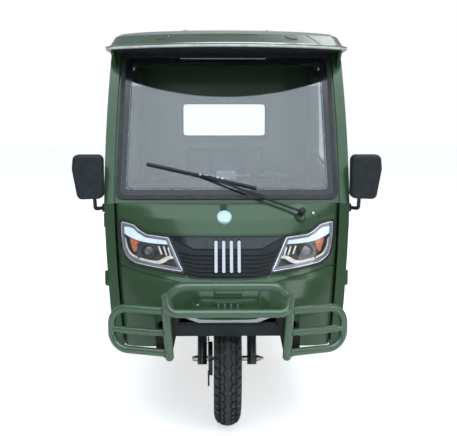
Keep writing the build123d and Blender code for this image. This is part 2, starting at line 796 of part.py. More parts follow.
def rim(bore, hub_in, hub_out, drum_in):
    """A cast wheel: hub, brake drum, spokes and a dropped rim with two flanges."""
    edge = bead_half + 5
    channel = [
        (-edge, rim_r + flange_h),
        (-bead_half - fit_gap, rim_r + flange_h),
        (-bead_half - fit_gap, rim_r),
        (bead_half + fit_gap, rim_r),
        (bead_half + fit_gap, rim_r + flange_h),
        (edge, rim_r + flange_h),
        (edge, rim_r - 8),
        (-edge, rim_r - 8),
    ]
    body = ring_about_x(channel)
    body += ring_about_x([(hub_in, 0.1), (hub_out, 0.1), (hub_out, hub_r), (hub_in, hub_r)])
    body += ring_about_x([(drum_in, hub_r - 2), (8, hub_r - 2), (8, drum_r), (drum_in, drum_r)])
    for turn in range(spoke_count):
        spoke = block((-8, 8), (-spoke_t, spoke_t), (hub_r - 4, rim_r - 4))
        wide = block((-6, 6), (-2 * spoke_t, 2 * spoke_t), (drum_r - 6, drum_r + 14))
        body += Rot(turn * 360 / spoke_count, 0, 0) * (spoke + wide)
    return body - rod_x(bore, -200, 200, 0, 0)


front_centre = Pos(0, 0, tyre_r)
hub_left = 55.0
brake_face = -64.0
write("front_tyre", front_centre * tyre())
write("front_rim", front_centre * rim(axle_r + pin_gap, brake_face + move_gap, hub_left, brake_face + move_gap))

spindle_r = 15.0
rear_hub_in = -48.0
rear_hub_out = 30.0
rear_drum_in = -48.0
rear_rim = rim(spindle_r + pin_gap, rear_hub_in, rear_hub_out, rear_drum_in)
rear_tyre = tyre()
for side, name in ((1, "left"), (-1, "right")):
    centre = Pos(side * rear_track / 2, wheelbase, tyre_r)
    turned = rear_rim if side > 0 else mirror(rear_rim, about=Plane.YZ)
    write(f"rear_rim_{name}", centre * turned)
    write(f"rear_tyre_{name}", centre * rear_tyre)

# ---------------------------------------------------------------- fork, front axle, brake and handlebar
slider_top = 170.0
leg_low = -26.0
clamp_z = (332.0, 356.0)
clamp_half = 136.0
fork = steering_place(0, (fork_offset - 4) / 2, sum(clamp_z) / 2) * Box(2 * clamp_half, 78, clamp_z[1] - clamp_z[0])
for side in (-1, 1):
    fork += steering_place(side * fork_half, 0, (leg_low + slider_top) / 2) * Cylinder(slider_r, slider_top - leg_low)
    fork += steering_place(side * fork_half, 0, (slider_top + clamp_z[1]) / 2) * Cylinder(
        stanchion_r, clamp_z[1] - slider_top + 2
    )
column_top = 488.0
fork += column(steerer_r, clamp_z[0], column_top)
fork -= rod_x(axle_r + pin_gap, -200, 200, 0, tyre_r)
write("fork", fork)

nut_r = 11.0
spacer_r = 11.5
axle = rod_x(axle_r, -axle_half, axle_half, 0, tyre_r)
for side in (-1, 1):
    outer = fork_half + slider_r
    axle += rod_x(nut_r, side * (outer + fit_gap), side * (axle_half - 3), 0, tyre_r)
inner_leg = fork_half - slider_r - fit_gap
axle += rod_x(spacer_r, hub_left + 1.0, inner_leg, 0, tyre_r)
brake_out = -82.0
axle += rod_x(spacer_r, -inner_leg, brake_out - fit_gap, 0, tyre_r)
write("front_axle", axle)

plate_r = 74.0
brake = rod_x(plate_r, brake_out, brake_face, 0, tyre_r)
brake += block((brake_out - 4, brake_out + 4), (-12, 12), (tyre_r - 124, tyre_r - 60))
brake -= rod_x(axle_r + pin_gap, -200, 200, 0, tyre_r)
write("front_brake", brake)

bar_r = 11.0
grip_r = 16.0
bar_up = 850.0
bar_half = 345.0
bar_points = [
    (-bar_half, fork_offset + 92, bar_up + 12),
    (-bar_half + 130, fork_offset + 62, bar_up + 20),
    (-105, fork_offset, bar_up),
    (105, fork_offset, bar_up),
    (bar_half - 130, fork_offset + 62, bar_up + 20),
    (bar_half, fork_offset + 92, bar_up + 12),
]
bar = tube_path(bar_points, 30.0, bar_r)
for side in (-1, 1):
    grip_in = Vector(side * (bar_half - 118), fork_offset + 64.7, bar_up + 19.3)
    grip_out = Vector(side * bar_half, fork_offset + 92, bar_up + 12)
    grip = extrude(Plane(grip_in, z_dir=grip_out - grip_in) * Circle(grip_r), (grip_out - grip_in).length)
    bar += grip
stem_post = Pos(0, fork_offset, (column_top + bar_up) / 2) * Cylinder(steerer_r + 3, bar_up - column_top)
bar_clamp = Pos(0, fork_offset, bar_up) * Box(90, 44, 44)
write("handlebar", steering_place(0, 0, 0) * (bar + stem_post + bar_clamp))

# ---------------------------------------------------------------- rear axle, motor and springs
axle_tube_r = 32.0
plate_in = rear_track / 2 + rear_drum_in - move_gap
flange_t = 8.0
rear_axle = rod_x(axle_tube_r, -(plate_in - flange_t), plate_in - flange_t, wheelbase, tyre_r)
spindle_end = rear_track / 2 + rear_hub_out + 3.0
rear_axle += rod_x(spindle_r, -spindle_end, spindle_end, wheelbase, tyre_r)
for side in (-1, 1):
    rear_axle += rod_x(72.0, side * (plate_in - flange_t), side * plate_in, wheelbase, tyre_r)
    rear_axle += rod_x(23.0, side * spindle_end, side * (spindle_end + 16), wheelbase, tyre_r)
rear_axle += Pos(55, wheelbase, tyre_r) * Sphere(104.0)
rear_axle += rod_x(78.0, 60.0, -205.0, wheelbase - 62, tyre_r + 22)
write("rear_axle", rear_axle)

spring_half = 430.0
eye_r = 18.0
eye_z = rear_rail_z - eye_r - fit_gap
pad_z = tyre_r + axle_tube_r + 10.0
leaf_h = 26.0
rise = eye_z - pad_z
end_rise = rise + leaf_h / 2
leaf_low = ThreePointArc((-spring_half, rise), (0, 0), (spring_half, rise))
leaf_rear = Line((spring_half, rise), (spring_half, end_rise))
leaf_up = ThreePointArc((spring_half, end_rise), (0, leaf_h), (-spring_half, end_rise))
leaf_front = Line((-spring_half, end_rise), (-spring_half, rise))
leaf_face = make_face([leaf_low, leaf_rear, leaf_up, leaf_front])
spring_plane = Plane(origin=(rail_x + 3, wheelbase, pad_z), x_dir=(0, 1, 0), z_dir=(1, 0, 0))
spring_w = rail_w - 6.0
spring = extrude(spring_plane * leaf_face, spring_w)
for end in (-1, 1):
    spring += rod_x(eye_r, rail_x + 3, rail_x + 3 + spring_w, wheelbase + end * spring_half, eye_z)
spring += block((rail_x, rail_x + rail_w), (wheelbase - 45, wheelbase + 45), (tyre_r, pad_z + leaf_h + 8))
spring -= rod_x(axle_tube_r + fit_gap, 0, 500, wheelbase, tyre_r)
spring = spring.solids().sort_by(SortBy.VOLUME)[-1]
write("leaf_springs", *both(spring))

# ---------------------------------------------------------------- cargo bed
post_w = 32.0
post_t = 35.0
bed_top_z = bed_floor_z + bed_floor_t + gate_h
gate_face_x = bed_half - 2.0
floor_half = gate_face_x - gate_t - move_gap
beam_w = 50.0
pin_z = bed_floor_z - 2.0
gate_pin_x = gate_face_x + 7.0
gate_pin_r = 4.0
barrel_r = 7.0
gate_low_z = pin_z + barrel_r + move_gap
tail_face_y = bed_rear_y - 3.0
tail_pin_y = tail_face_y + 7.0
hinge_len = 40.0
floor_rear_y = tail_face_y - gate_t - move_gap
bed = block((-floor_half, floor_half), (bed_front_y, floor_rear_y), (bed_floor_z, bed_floor_z + bed_floor_t))
bed += block((-bed_half, bed_half), (bed_front_y, bed_front_y + post_t), (bed_floor_z - 50, bed_top_z))
for y in (1235.0, 1560.0, 1920.0, 2380.0, floor_rear_y - beam_w / 2):
    bed += block(
        (-floor_half, floor_half), (y - beam_w / 2, y + beam_w / 2), (rear_rail_z + rear_rail_h, bed_floor_z)
    )
post_y = (floor_rear_y - post_t, bed_rear_y)
for side in (-1, 1):
    post_x = sorted((side * (bed_half - post_w), side * bed_half))
    bed += block(post_x, post_y, (rear_rail_z + rear_rail_h, bed_top_z))
    foot_x = sorted((side * (floor_half - 20), side * bed_half))
    bed += block(foot_x, (post_y[0], floor_rear_y), (rear_rail_z + rear_rail_h, bed_floor_z))

gate_y = (bed_front_y + post_t + move_gap, post_y[0] - move_gap)
side_hinge_y = (gate_y[0] + 260.0, gate_y[1] - 260.0)
gate = block((gate_face_x - gate_t, gate_face_x), gate_y, (gate_low_z, bed_top_z))
for row in range(1, 4):
    rib_z = gate_low_z + row * (bed_top_z - gate_low_z) / 4
    gate += block((gate_face_x - 1, gate_face_x + 3), (gate_y[0] + 60, gate_y[1] - 60), (rib_z - 9, rib_z + 9))
for y in side_hinge_y:
    span = (y - hinge_len / 2, y + hinge_len / 2)
    gate += block((gate_face_x - 1, gate_pin_x + 3), span, (pin_z, gate_low_z + 60))
    gate += rod_y(barrel_r, gate_pin_x, *span, pin_z)
    gate -= rod_y(gate_pin_r + pin_gap, gate_pin_x, span[0] - 1, span[1] + 1, pin_z)
    for side in (-1, 1):
        pin_y = (span[0] - 16, span[1] + 16)
        for lug in ((span[0] - 15, span[0] - 1), (span[1] + 1, span[1] + 15)):
            plate_x = sorted((side * (floor_half - 2), side * gate_pin_x))
            bed += block(plate_x, lug, (pin_z - barrel_r, pin_z + barrel_r - 1))
            bed += rod_y(barrel_r, side * gate_pin_x, *lug, pin_z)
        bed += rod_y(gate_pin_r, side * gate_pin_x, *pin_y, pin_z)
left, right = both(gate)
write("side_gate_left", left)
write("side_gate_right", right)

tail_half = bed_half - post_w - move_gap
tail_hinge_x = (-300.0, 300.0)
tailgate = block((-tail_half, tail_half), (tail_face_y - gate_t, tail_face_y), (gate_low_z, bed_top_z))
for row in range(1, 4):
    rib_z = gate_low_z + row * (bed_top_z - gate_low_z) / 4
    tailgate += block((60 - tail_half, tail_half - 60), (tail_face_y - 1, tail_face_y + 3), (rib_z - 9, rib_z + 9))
for x in tail_hinge_x:
    span = (x - hinge_len / 2, x + hinge_len / 2)
    tailgate += block(span, (tail_face_y - 1, tail_pin_y + 3), (pin_z, gate_low_z + 60))
    tailgate += rod_x(barrel_r, *span, tail_pin_y, pin_z)
    tailgate -= rod_x(gate_pin_r + pin_gap, span[0] - 1, span[1] + 1, tail_pin_y, pin_z)
    for lug in ((span[0] - 15, span[0] - 1), (span[1] + 1, span[1] + 15)):
        bed += block(lug, (floor_rear_y - 2, tail_pin_y), (pin_z - barrel_r, pin_z + barrel_r - 1))
        bed += rod_x(barrel_r, *lug, tail_pin_y, pin_z)
    bed += rod_x(gate_pin_r, span[0] - 16, span[1] + 16, tail_pin_y, pin_z)
write("tailgate", tailgate)
write("cargo_bed", bed)

# ---------------------------------------------------------------- rear mudguards and lamps
guard_in = tyre_r + 12.0
guard_t = 4.0
guard_half = tyre_w / 2 + 8.0
guard_turn = 62.0
guard_out = guard_in + guard_t
ring = ring_about_x(
    [
        (-guard_half, guard_in),
        (guard_half, guard_in),
        (guard_half, guard_out),
        (-guard_half, guard_out),
    ]
)
reach = guard_out + 56.0
keep_y = reach * sin(radians(guard_turn))
keep_z = reach * cos(radians(guard_turn))
keep = Polyline((0, 0), (-keep_y, keep_z), (-keep_y, reach), (keep_y, reach), (keep_y, keep_z), close=True)
wedge = extrude(Plane(origin=(-100, 0, 0), x_dir=(0, 1, 0), z_dir=(1, 0, 0)) * make_face(keep), 200)
mudguard = ring & wedge
lug_h = bed_floor_z - tyre_r
mudguard += block((-30, 30), (-20, 20), (guard_in + 1, lug_h))
mudguard = Pos(rear_track / 2, wheelbase, tyre_r) * mudguard
write("rear_mudguards", *both(mudguard))
tail_lamp_x = (floor_half - 150, floor_half - 30)
tail_lamp_z = (rear_rail_z + 50, bed_floor_z - 12)
lamp_box = block(tail_lamp_x, (floor_rear_y, floor_rear_y + 24), tail_lamp_z)
write("tail_lamps", *both(lamp_box))
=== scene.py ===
from math import atan2, cos, hypot, pi, radians, sin, tan

import bmesh
import bpy
from mathutils import Matrix, Vector
from mathutils.bvhtree import BVHTree


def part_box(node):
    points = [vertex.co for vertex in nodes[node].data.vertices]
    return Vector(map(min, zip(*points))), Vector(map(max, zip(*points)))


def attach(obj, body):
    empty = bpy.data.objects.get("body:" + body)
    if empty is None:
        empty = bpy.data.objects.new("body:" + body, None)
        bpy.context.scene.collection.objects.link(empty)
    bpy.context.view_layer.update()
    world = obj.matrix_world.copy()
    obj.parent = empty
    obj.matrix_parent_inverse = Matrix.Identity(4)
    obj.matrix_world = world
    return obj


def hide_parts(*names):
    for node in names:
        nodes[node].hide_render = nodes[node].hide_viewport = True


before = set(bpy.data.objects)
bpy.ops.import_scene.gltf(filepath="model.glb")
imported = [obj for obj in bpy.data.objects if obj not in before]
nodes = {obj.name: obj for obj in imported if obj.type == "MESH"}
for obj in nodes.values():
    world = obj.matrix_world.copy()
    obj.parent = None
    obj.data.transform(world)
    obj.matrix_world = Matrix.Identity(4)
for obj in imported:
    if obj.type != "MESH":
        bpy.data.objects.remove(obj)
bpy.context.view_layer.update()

scene = bpy.context.scene
named_sides = ((1, "left"), (-1, "right"))

# ---- Studio ----
# A pale floor and soft even light. The camera stands at chest height, a little to the vehicle's
# right, and looks slightly down on its front.
axle_y = (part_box("front_tyre")[0].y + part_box("front_tyre")[1].y) / 2

camera = bpy.data.objects.new("camera", bpy.data.cameras.new("camera"))
scene.collection.objects.link(camera)
camera.location = (-0.0487, axle_y - 3.4, 1.3315)
camera.rotation_euler = (pi / 2 - radians(6.94), 0, -radians(0.93))
camera.data.lens = 62.1
camera.data.clip_end = 60
scene.camera = camera
scene.view_settings.view_transform = "Standard"


def lamp(name, place, aim, size, power, colour=(1, 1, 1)):
    """A soft studio light."""
    data = bpy.data.lights.new(name, "AREA")
    data.shape = "RECTANGLE"
    data.size, data.size_y = size
    data.energy = power
    data.color = colour
    light = bpy.data.objects.new(name, data)
    scene.collection.objects.link(light)
    light.location = place
    light.rotation_euler = (Vector(aim) - Vector(place)).to_track_quat("-Z", "Y").to_euler()


lamp("sky", (0.8, -8.6, 6.2), (0, -1.1, 1.2), (9.0, 5.5), 330, (0.78, 0.9, 1.0))
lamp("overhead", (0, -3.4, 6.0), (0, -1.0, 1.2), (8.0, 3.6), 230, (0.8, 0.93, 1.0))
lamp("fill", (4.5, -4.0, 2.4), (0, -0.8, 0.8), (2.0, 2.0), 35)
lamp("rim", (1.5, 3.6, 7.0), (0, 0.9, 0.6), (5.0, 2.0), 120)


def wire(tree, kind, values=None, operation=None):
    """Adds a shader node. Each of its inputs named in values is set, or linked if given a socket."""
    node = tree.nodes.new("ShaderNode" + kind)
    if operation:
        node.operation = operation
    for socket, value in (values or {}).items():
        if isinstance(value, bpy.types.NodeSocket):
            tree.links.new(value, node.inputs[socket])
        else:
            node.inputs[socket].default_value = value
    return node


def backdrop_rays(tree):
    """1 for the rays that show the backdrop itself: from the camera and through glass."""
    path = wire(tree, "LightPath").outputs
    kinds = {0: path["Is Camera Ray"], 1: path["Is Transmission Ray"]}
    return wire(tree, "Math", kinds, "MAXIMUM").outputs[0]


world = bpy.data.worlds.new("studio")
scene.world = world
world.use_nodes = True
sky = world.node_tree
soft = sky.nodes["Background"]
soft.inputs["Color"].default_value = (0.88, 0.94, 1.0, 1)
soft.inputs["Strength"].default_value = 0.42
white = wire(sky, "Background", {"Color": (1, 1, 1, 1), "Strength": 1.0})
choose = wire(sky, "MixShader", {0: backdrop_rays(sky), 1: soft.outputs[0], 2: white.outputs[0]})
sky.links.new(choose.outputs[0], sky.nodes["World Output"].inputs[0])


def grain(made, scale, detail=3.0, stretch=(1, 1, 1)):
    """Noise over the piece's own coordinates, stretched along an axis for brushed or rolled stock."""
    tree = made.node_tree
    place = wire(tree, "TexCoord").outputs["Object"]
    spread = wire(tree, "Mapping", {"Vector": place, "Scale": stretch}).outputs[0]
    return wire(tree, "TexNoise", {"Vector": spread, "Scale": scale, "Detail": detail}).outputs["Fac"]


def colour_by(made, source, low, high, start=0.35, end=0.65):
    """The base colour runs from low to high as the source rises."""
    tree = made.node_tree
    ramp = wire(tree, "ValToRGB", {0: source})
    for stop, place, colour in zip(ramp.color_ramp.elements, (start, end), (low, high)):
        stop.position, stop.color = place, (*colour, 1)
    tree.links.new(ramp.outputs[0], tree.nodes["Principled BSDF"].inputs["Base Color"])
    return ramp


def roughness_by(made, source, low, high, start=0.3, end=0.7):
    """The roughness runs from low to high as the source rises from start to end."""
    tree = made.node_tree
    limits = {"From Min": start, "From Max": end, "To Min": low, "To Max": high}
    span = wire(tree, "MapRange", {"Value": source, **limits})
    tree.links.new(span.outputs[0], tree.nodes["Principled BSDF"].inputs["Roughness"])


def relief(made, source, height, strength=0.6):
    """Raises the surface by the source, on top of any relief it has already."""
    tree = made.node_tree
    bump = wire(tree, "Bump", {"Strength": strength, "Distance": height, "Height": source})
    normal = tree.nodes["Principled BSDF"].inputs["Normal"]
    if normal.links:
        tree.links.new(normal.links[0].from_socket, bump.inputs["Normal"])
    tree.links.new(bump.outputs[0], normal)


def new_finish(name, colour, roughness, metallic=0.0, shades=None, rough=None, bumps=(), **values):
    """A finish from plain values and noise, where each noise is (scale, detail, stretch).

    shades is (noise, low colour, high colour), rough is (noise, low, high) and each of bumps is
    (noise, height, strength).
    """
    made = bpy.data.materials.new(name)
    made.use_nodes = True
    values.update(Base_Color=(*colour, 1), Roughness=roughness, Metallic=metallic)
    for socket, value in values.items():
        made.node_tree.nodes["Principled BSDF"].inputs[socket.replace("_", " ")].default_value = value
    if shades:
        colour_by(made, grain(made, *shades[0]), *shades[1:])
    if rough:
        roughness_by(made, grain(made, *rough[0]), *rough[1:])
    for noise, *raised in bumps:
        relief(made, grain(made, *noise), *raised)
    return made


floor_build = bmesh.new()
bmesh.ops.create_grid(floor_build, x_segments=1, y_segments=1, size=40)
floor = bpy.data.objects.new("floor", bpy.data.meshes.new("floor"))
floor_build.to_mesh(floor.data)
floor_build.free()
scene.collection.objects.link(floor)
floor_finish = new_finish("pale_floor", (0.93, 0.93, 0.93), 0.9, Emission_Color=(1, 1, 1, 1))
floor_tree = floor_finish.node_tree
glow = wire(floor_tree, "Math", {0: backdrop_rays(floor_tree), 1: 0.62}, "MULTIPLY")
floor_tree.links.new(glow.outputs[0], floor_tree.nodes["Principled BSDF"].inputs["Emission Strength"])
floor.data.materials.append(floor_finish)


# ---- Chassis ----
# Two welded box-section rails with cross members, sprayed satin black and slightly uneven. It
# carries the cab, the bed, the steering head and the springs.
def dress(made, *names):
    """Gives these CAD nodes the finish."""
    for name in names:
        for place in nodes[name].material_slots:
            place.material = made


chassis_black = new_finish(
    "chassis_black", (0.009, 0.012, 0.012), 0.5, Specular_IOR_Level=0.3,
    shades=((6, 6), (0.007, 0.01, 0.01), (0.018, 0.02, 0.019)), rough=((14, 4), 0.42, 0.62),
    bumps=[((450, 1), 0.0004)],
)
dress(chassis_black, "chassis_frame")


def bevel(build, edges, offset, segments=2):
    """Rounds the edges, and returns the places made."""
    return bmesh.ops.bevel(
        build, geom=edges, offset=offset, affect="EDGES", segments=segments, profile=0.5, material=-1
    )["verts"]


def extruded(build, faces, move):
    """Thickens flat faces: a copy of them moves away, joined to them by walls."""
    copied = bmesh.ops.extrude_face_region(build, geom=faces)["geom"]
    raised = [v for v in copied if isinstance(v, bmesh.types.BMVert)]
    bmesh.ops.translate(build, vec=move, verts=raised)
    return raised


def block(build, one, other, edge=0.0, segments=2):
    """Adds a block between two opposite corners, its edges rounded."""
    low, high = (Vector(map(pick, one, other)) for pick in (min, max))
    made = bmesh.ops.create_cube(build, size=1)["verts"]
    bmesh.ops.scale(build, vec=high - low, verts=made)
    bmesh.ops.translate(build, vec=(low + high) / 2, verts=made)
    if edge:
        bevel(build, list({e for v in made for e in v.link_edges}), edge, segments)


def facing_turn(facing):
    """The turn that stands an upright shape along facing."""
    return Vector((0, 0, 1)).rotation_difference(Vector(facing)).to_matrix().to_4x4()


def bolt(build, place, facing, size=0.009):
    """Adds a hexagon head on a washer, standing on a face that looks along facing."""
    stand = Matrix.Translation(Vector(place)) @ facing_turn(facing)
    for sides, radius, low, high in ((20, size * 1.25, 0.0, size * 0.22), (6, size, size * 0.22, size * 0.9)):
        made = bmesh.ops.create_cone(
            build, cap_ends=True, segments=sides, radius1=radius, radius2=radius, depth=high - low
        )["verts"]
        top = {e for v in made for e in v.link_edges if min(end.co.z for end in e.verts) > 0}
        bmesh.ops.translate(build, vec=(0, 0, (low + high) / 2), verts=made)
        kept = bevel(build, list(top), size * 0.12)
        whole = {v for v in made if v.is_valid} | set(kept)
        bmesh.ops.transform(build, matrix=stand, verts=list(whole))


def finished(name, build, made, body="vehicle_body", sharp=32):
    """Turns the worked mesh into a piece with its finish, riding on a body."""
    mesh = bpy.data.meshes.new(name)
    build.to_mesh(mesh)
    build.free()
    mesh.materials.append(made)
    mesh.shade_smooth()
    mesh.set_sharp_from_angle(angle=radians(sharp))
    made_piece = bpy.data.objects.new(name, mesh)
    scene.collection.objects.link(made_piece)
    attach(made_piece, body)
    return made_piece


def at(x, y, z):
    """A place in metres across, behind the front axle and above the ground."""
    return Vector((x, axle_y + y, z))


def skin(*names):
    """A search tree over the surfaces of these CAD nodes."""
    trees = []
    for name in names:
        mesh = nodes[name].data
        corners = [tuple(face.vertices) for face in mesh.polygons]
        trees.append(BVHTree.FromPolygons([vert.co.copy() for vert in mesh.vertices], corners))

    def meet(start, heading):
        """Where a line from start first meets the surfaces, and which way they face there."""
        hits = [tree.ray_cast(Vector(start), Vector(heading)) for tree in trees]
        hits = [hit for hit in hits if hit[0]]
        return min(hits, key=lambda hit: hit[3])[:2] if hits else (None, None)
    return meet


def ahead_of(meet, x, z):
    """Where a line from straight ahead of the tricycle first meets a skin."""
    return meet(at(x, -2, z), (0, 1, 0))


zinc = new_finish(
    "zinc_plate", (0.62, 0.55, 0.4), 0.32, 1.0, shades=((60, 4), (0.55, 0.47, 0.3), (0.7, 0.66, 0.55)),
    rough=((180, 2), 0.24, 0.45),
)

chassis_skin = skin("chassis_frame")
chassis_bolts = bmesh.new()
for side in (-1, 1):
    for y, z in ((-0.335, 0.43), (-0.335, 0.46), (0.18, 0.345), (0.43, 0.345), (1.16, 0.345)):
        start, heading = (0, side) if y < 0 else (side, -side)
        hit, facing = chassis_skin(at(start, y, z), (heading, 0, 0))
        if hit:
            bolt(chassis_bolts, hit, facing, 0.0075)
finished("chassis_bolts", chassis_bolts, zinc)

# ---- Rear axle, motor and leaf springs ----
# A cast drive axle with its finned electric motor, hung under two steel leaf springs. The motor's
# cooling fins run round its drum, and U-bolts clamp each spring to the axle tube.
cast_iron = new_finish(
    "cast_iron", (0.07, 0.072, 0.076), 0.62, 0.55,
    shades=((18, 6), (0.045, 0.046, 0.05), (0.11, 0.105, 0.1)), bumps=[((260, 4), 0.0012)],
)
dress(cast_iron, "rear_axle")
spring_steel = new_finish(
    "spring_steel", (0.035, 0.036, 0.04), 0.5, 0.4,
    shades=((40, 5, (1, 0.1, 1)), (0.022, 0.022, 0.025), (0.075, 0.06, 0.05)),
    bumps=[((220, 2, (1, 0.05, 1)), 0.0006)],
)
dress(spring_steel, "leaf_springs")

wheelbase = 2.15
hub_z = 0.29
fin_count, fin_pitch, fin_radius = 9, 0.029, 0.084
upright = Matrix.Rotation(pi / 2, 4, "Y")
fins = bmesh.new()
for fin in range(fin_count):
    place = at(0.045 - fin * fin_pitch, wheelbase - 0.062, hub_z + 0.022)
    bmesh.ops.create_cone(
        fins, cap_ends=True, segments=40, radius1=fin_radius, radius2=fin_radius, depth=0.006,
        matrix=Matrix.Translation(place) @ upright,
    )
finished("motor_fins", fins, cast_iron)


def bent_rod(build, points, radius, sides=3, loop=False, smooth=False, taper=None):
    """Adds a round rod along the points, with the radius scaled at each by taper."""
    path = bpy.data.curves.new("path", "CURVE")
    path.dimensions = "3D"
    path.bevel_depth = radius
    path.bevel_resolution = sides
    path.use_fill_caps = True
    line = path.splines.new("NURBS" if smooth else "POLY")
    line.points.add(len(points) - 1)
    for place, point in zip(points, line.points):
        point.co = (*place, 1)
    for share, point in zip(taper or [], line.points):
        point.radius = share
    if smooth:
        line.order_u = 3
        line.use_endpoint_u = not loop
        line.resolution_u = 6
    line.use_cyclic_u = loop
    holder = bpy.data.objects.new("path", path)
    bent = bpy.data.meshes.new_from_object(holder)
    build.from_mesh(bent)
    bpy.data.objects.remove(holder)
    bpy.data.curves.remove(path)
    bpy.data.meshes.remove(bent)


clamps = bmesh.new()
for side in (-1, 1):
    for y in (wheelbase - 0.032, wheelbase + 0.032):
        x0, x1 = side * 0.234, side * 0.296
        low, high = hub_z - 0.034, hub_z + 0.086
        bent_rod(clamps, [at(x0, y, high), at(x0, y, low), at(x1, y, low), at(x1, y, high)], 0.005)
finished("spring_clamps", clamps, zinc)

# ---- Wheels and tyres ----
# Five-spoke cast wheels in silver paint. Each tyre is moulded rubber with a zigzag centre rib, two
# rows of scalloped blocks beside it and square shoulder blocks, every groove about 8 mm deep.
wheel_paint = new_finish(
    "wheel_silver", (0.42, 0.43, 0.45), 0.36, 0.7, shades=((30, 5), (0.34, 0.35, 0.37), (0.5, 0.51, 0.53)),
    bumps=[((320, 2), 0.0005)],
)
dress(wheel_paint, "front_rim", "rear_rim_left", "rear_rim_right")

rubber = new_finish(
    "tyre_rubber", (0.022, 0.024, 0.026), 0.62,
    shades=((35, 6), (0.012, 0.014, 0.015), (0.034, 0.036, 0.037)), rough=((90, 3), 0.48, 0.75),
    bumps=[((500, 2), 0.0004)],
)

# Half the tyre's outline, from the crown to the bead: (across, radius).
tyre_outline = [
    (0.0, 0.2897), (0.006, 0.2893), (0.0115, 0.2884), (0.0175, 0.287), (0.0245, 0.2845), (0.0305, 0.2815),
    (0.036, 0.2782), (0.044, 0.2725), (0.0497, 0.2655), (0.0537, 0.2587), (0.0572, 0.247), (0.0587, 0.235),
    (0.058, 0.222), (0.0555, 0.206), (0.0515, 0.191), (0.0465, 0.178), (0.0422, 0.1685), (0.0418, 0.1535),
]
# The rows of the tread, by how far each edge is from the tyre's middle.
rib_edge, inner_edge, outer_edge, shoulder_edge = 0.0115, 0.0175, 0.0305, 0.036
pitches = 42
steps_per_pitch = 8
groove_depth = 0.008


def treaded_tyre(name, centre_x, centre_y, body):
    """A tyre turned from its outline, with the grooves sunk between the blocks."""
    build = bmesh.new()
    across = [(-x, r) for x, r in reversed(tyre_outline[1:])] + tyre_outline
    verts = [build.verts.new((x, 0, r)) for x, r in across]
    edges = [build.edges.new(pair) for pair in zip(verts, verts[1:])]
    steps = pitches * steps_per_pitch
    bmesh.ops.spin(
        build, geom=verts + edges, cent=(0, 0, 0), axis=(1, 0, 0), angle=2 * pi, steps=steps, use_merge=True
    )
    bmesh.ops.recalc_face_normals(build, faces=build.faces)
    sunk = []
    for face in build.faces:
        middle = face.calc_center_median()
        across = abs(middle.x)
        if hypot(middle.y, middle.z) < 0.255:
            continue
        turn = atan2(middle.y, middle.z) / (2 * pi) * steps
        beat = int(turn // 1) % steps_per_pitch
        ring_groove = rib_edge < across < inner_edge or outer_edge < across < shoulder_edge
        block_groove = inner_edge < across < outer_edge and beat in (0, 7)
        if ring_groove or block_groove or across > shoulder_edge and beat in (3, 4):
            sunk.append(face)
    for vert in build.verts:
        across = abs(vert.co.x)
        if 0.006 < across < 0.046 and hypot(vert.co.y, vert.co.z) > 0.25:
            turn = atan2(vert.co.y, vert.co.z) / (2 * pi) * pitches
            wave = abs(turn % 1 - 0.5) * 4 - 1
            vert.co.x += (0.0042 if vert.co.x > 0 else -0.0042) * wave * (1 if across < 0.04 else 0.35)
    made = bmesh.ops.extrude_face_region(build, geom=sunk)
    for vert in made["geom"]:
        if isinstance(vert, bmesh.types.BMVert):
            reach = hypot(vert.co.y, vert.co.z)
            vert.co.y -= vert.co.y / reach * groove_depth
            vert.co.z -= vert.co.z / reach * groove_depth
    bmesh.ops.delete(build, geom=sunk, context="FACES")
    bmesh.ops.translate(build, vec=(centre_x, centre_y, hub_z), verts=build.verts)
    made = finished(name + "_treaded", build, rubber, body, sharp=28)
    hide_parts(name)


treaded_tyre("front_tyre", 0, axle_y, "front_wheel")
mould_brown = new_finish(
    "mould_line", (0.075, 0.05, 0.032), 0.7, shades=((60, 4), (0.05, 0.035, 0.024), (0.11, 0.075, 0.05)),
    bumps=[((400, 2), 0.0003)],
)
mould_line = bmesh.new()
mould_radius, mould_steps = 0.2852, 84
angles = [2 * pi * step / mould_steps for step in range(mould_steps)]
ring = [at(-0.0235, mould_radius * sin(angle), hub_z + mould_radius * cos(angle)) for angle in angles]
bent_rod(mould_line, ring, 0.0014, sides=2, loop=True)
finished("mould_line", mould_line, mould_brown, "front_wheel")
for side, name in named_sides:
    treaded_tyre(f"rear_tyre_{name}", side * 0.44, axle_y + wheelbase, f"rear_wheel_{name}")

nut_face, nut_circle = 0.448, 0.05
for side, name in named_sides:
    nuts = bmesh.new()
    for turn in range(5):
        angle = 2 * pi * (turn + 0.5) / 5
        place = at(side * nut_face, wheelbase + nut_circle * sin(angle), hub_z + nut_circle * cos(angle))
        bolt(nuts, place, (side, 0, 0), 0.009)
    finished(f"wheel_nuts_{name}", nuts, zinc, f"rear_wheel_{name}")

# ---- Fork, front axle and brake ----
# Telescopic fork in semi-gloss black with rubber dust seals, on a plated axle with a domed cap nut
# at one end and a cone nut at the other. A ribbed rod works the drum brake.
fork_black = new_finish(
    "fork_black", (0.016, 0.019, 0.021), 0.27, Coat_Weight=0.3, Coat_Roughness=0.1,
    shades=((25, 4), (0.012, 0.014, 0.016), (0.03, 0.032, 0.034)), bumps=[((380, 1), 0.0003)],
)
dress(fork_black, "fork", "front_brake")
dress(zinc, "front_axle")

rake = radians(20)


def on_fork(x, back, up):
    """A place in the fork's own frame: across, behind the legs, and up along them from the axle."""
    return at(x, back * cos(rake) + up * sin(rake), hub_z - back * sin(rake) + up * cos(rake))


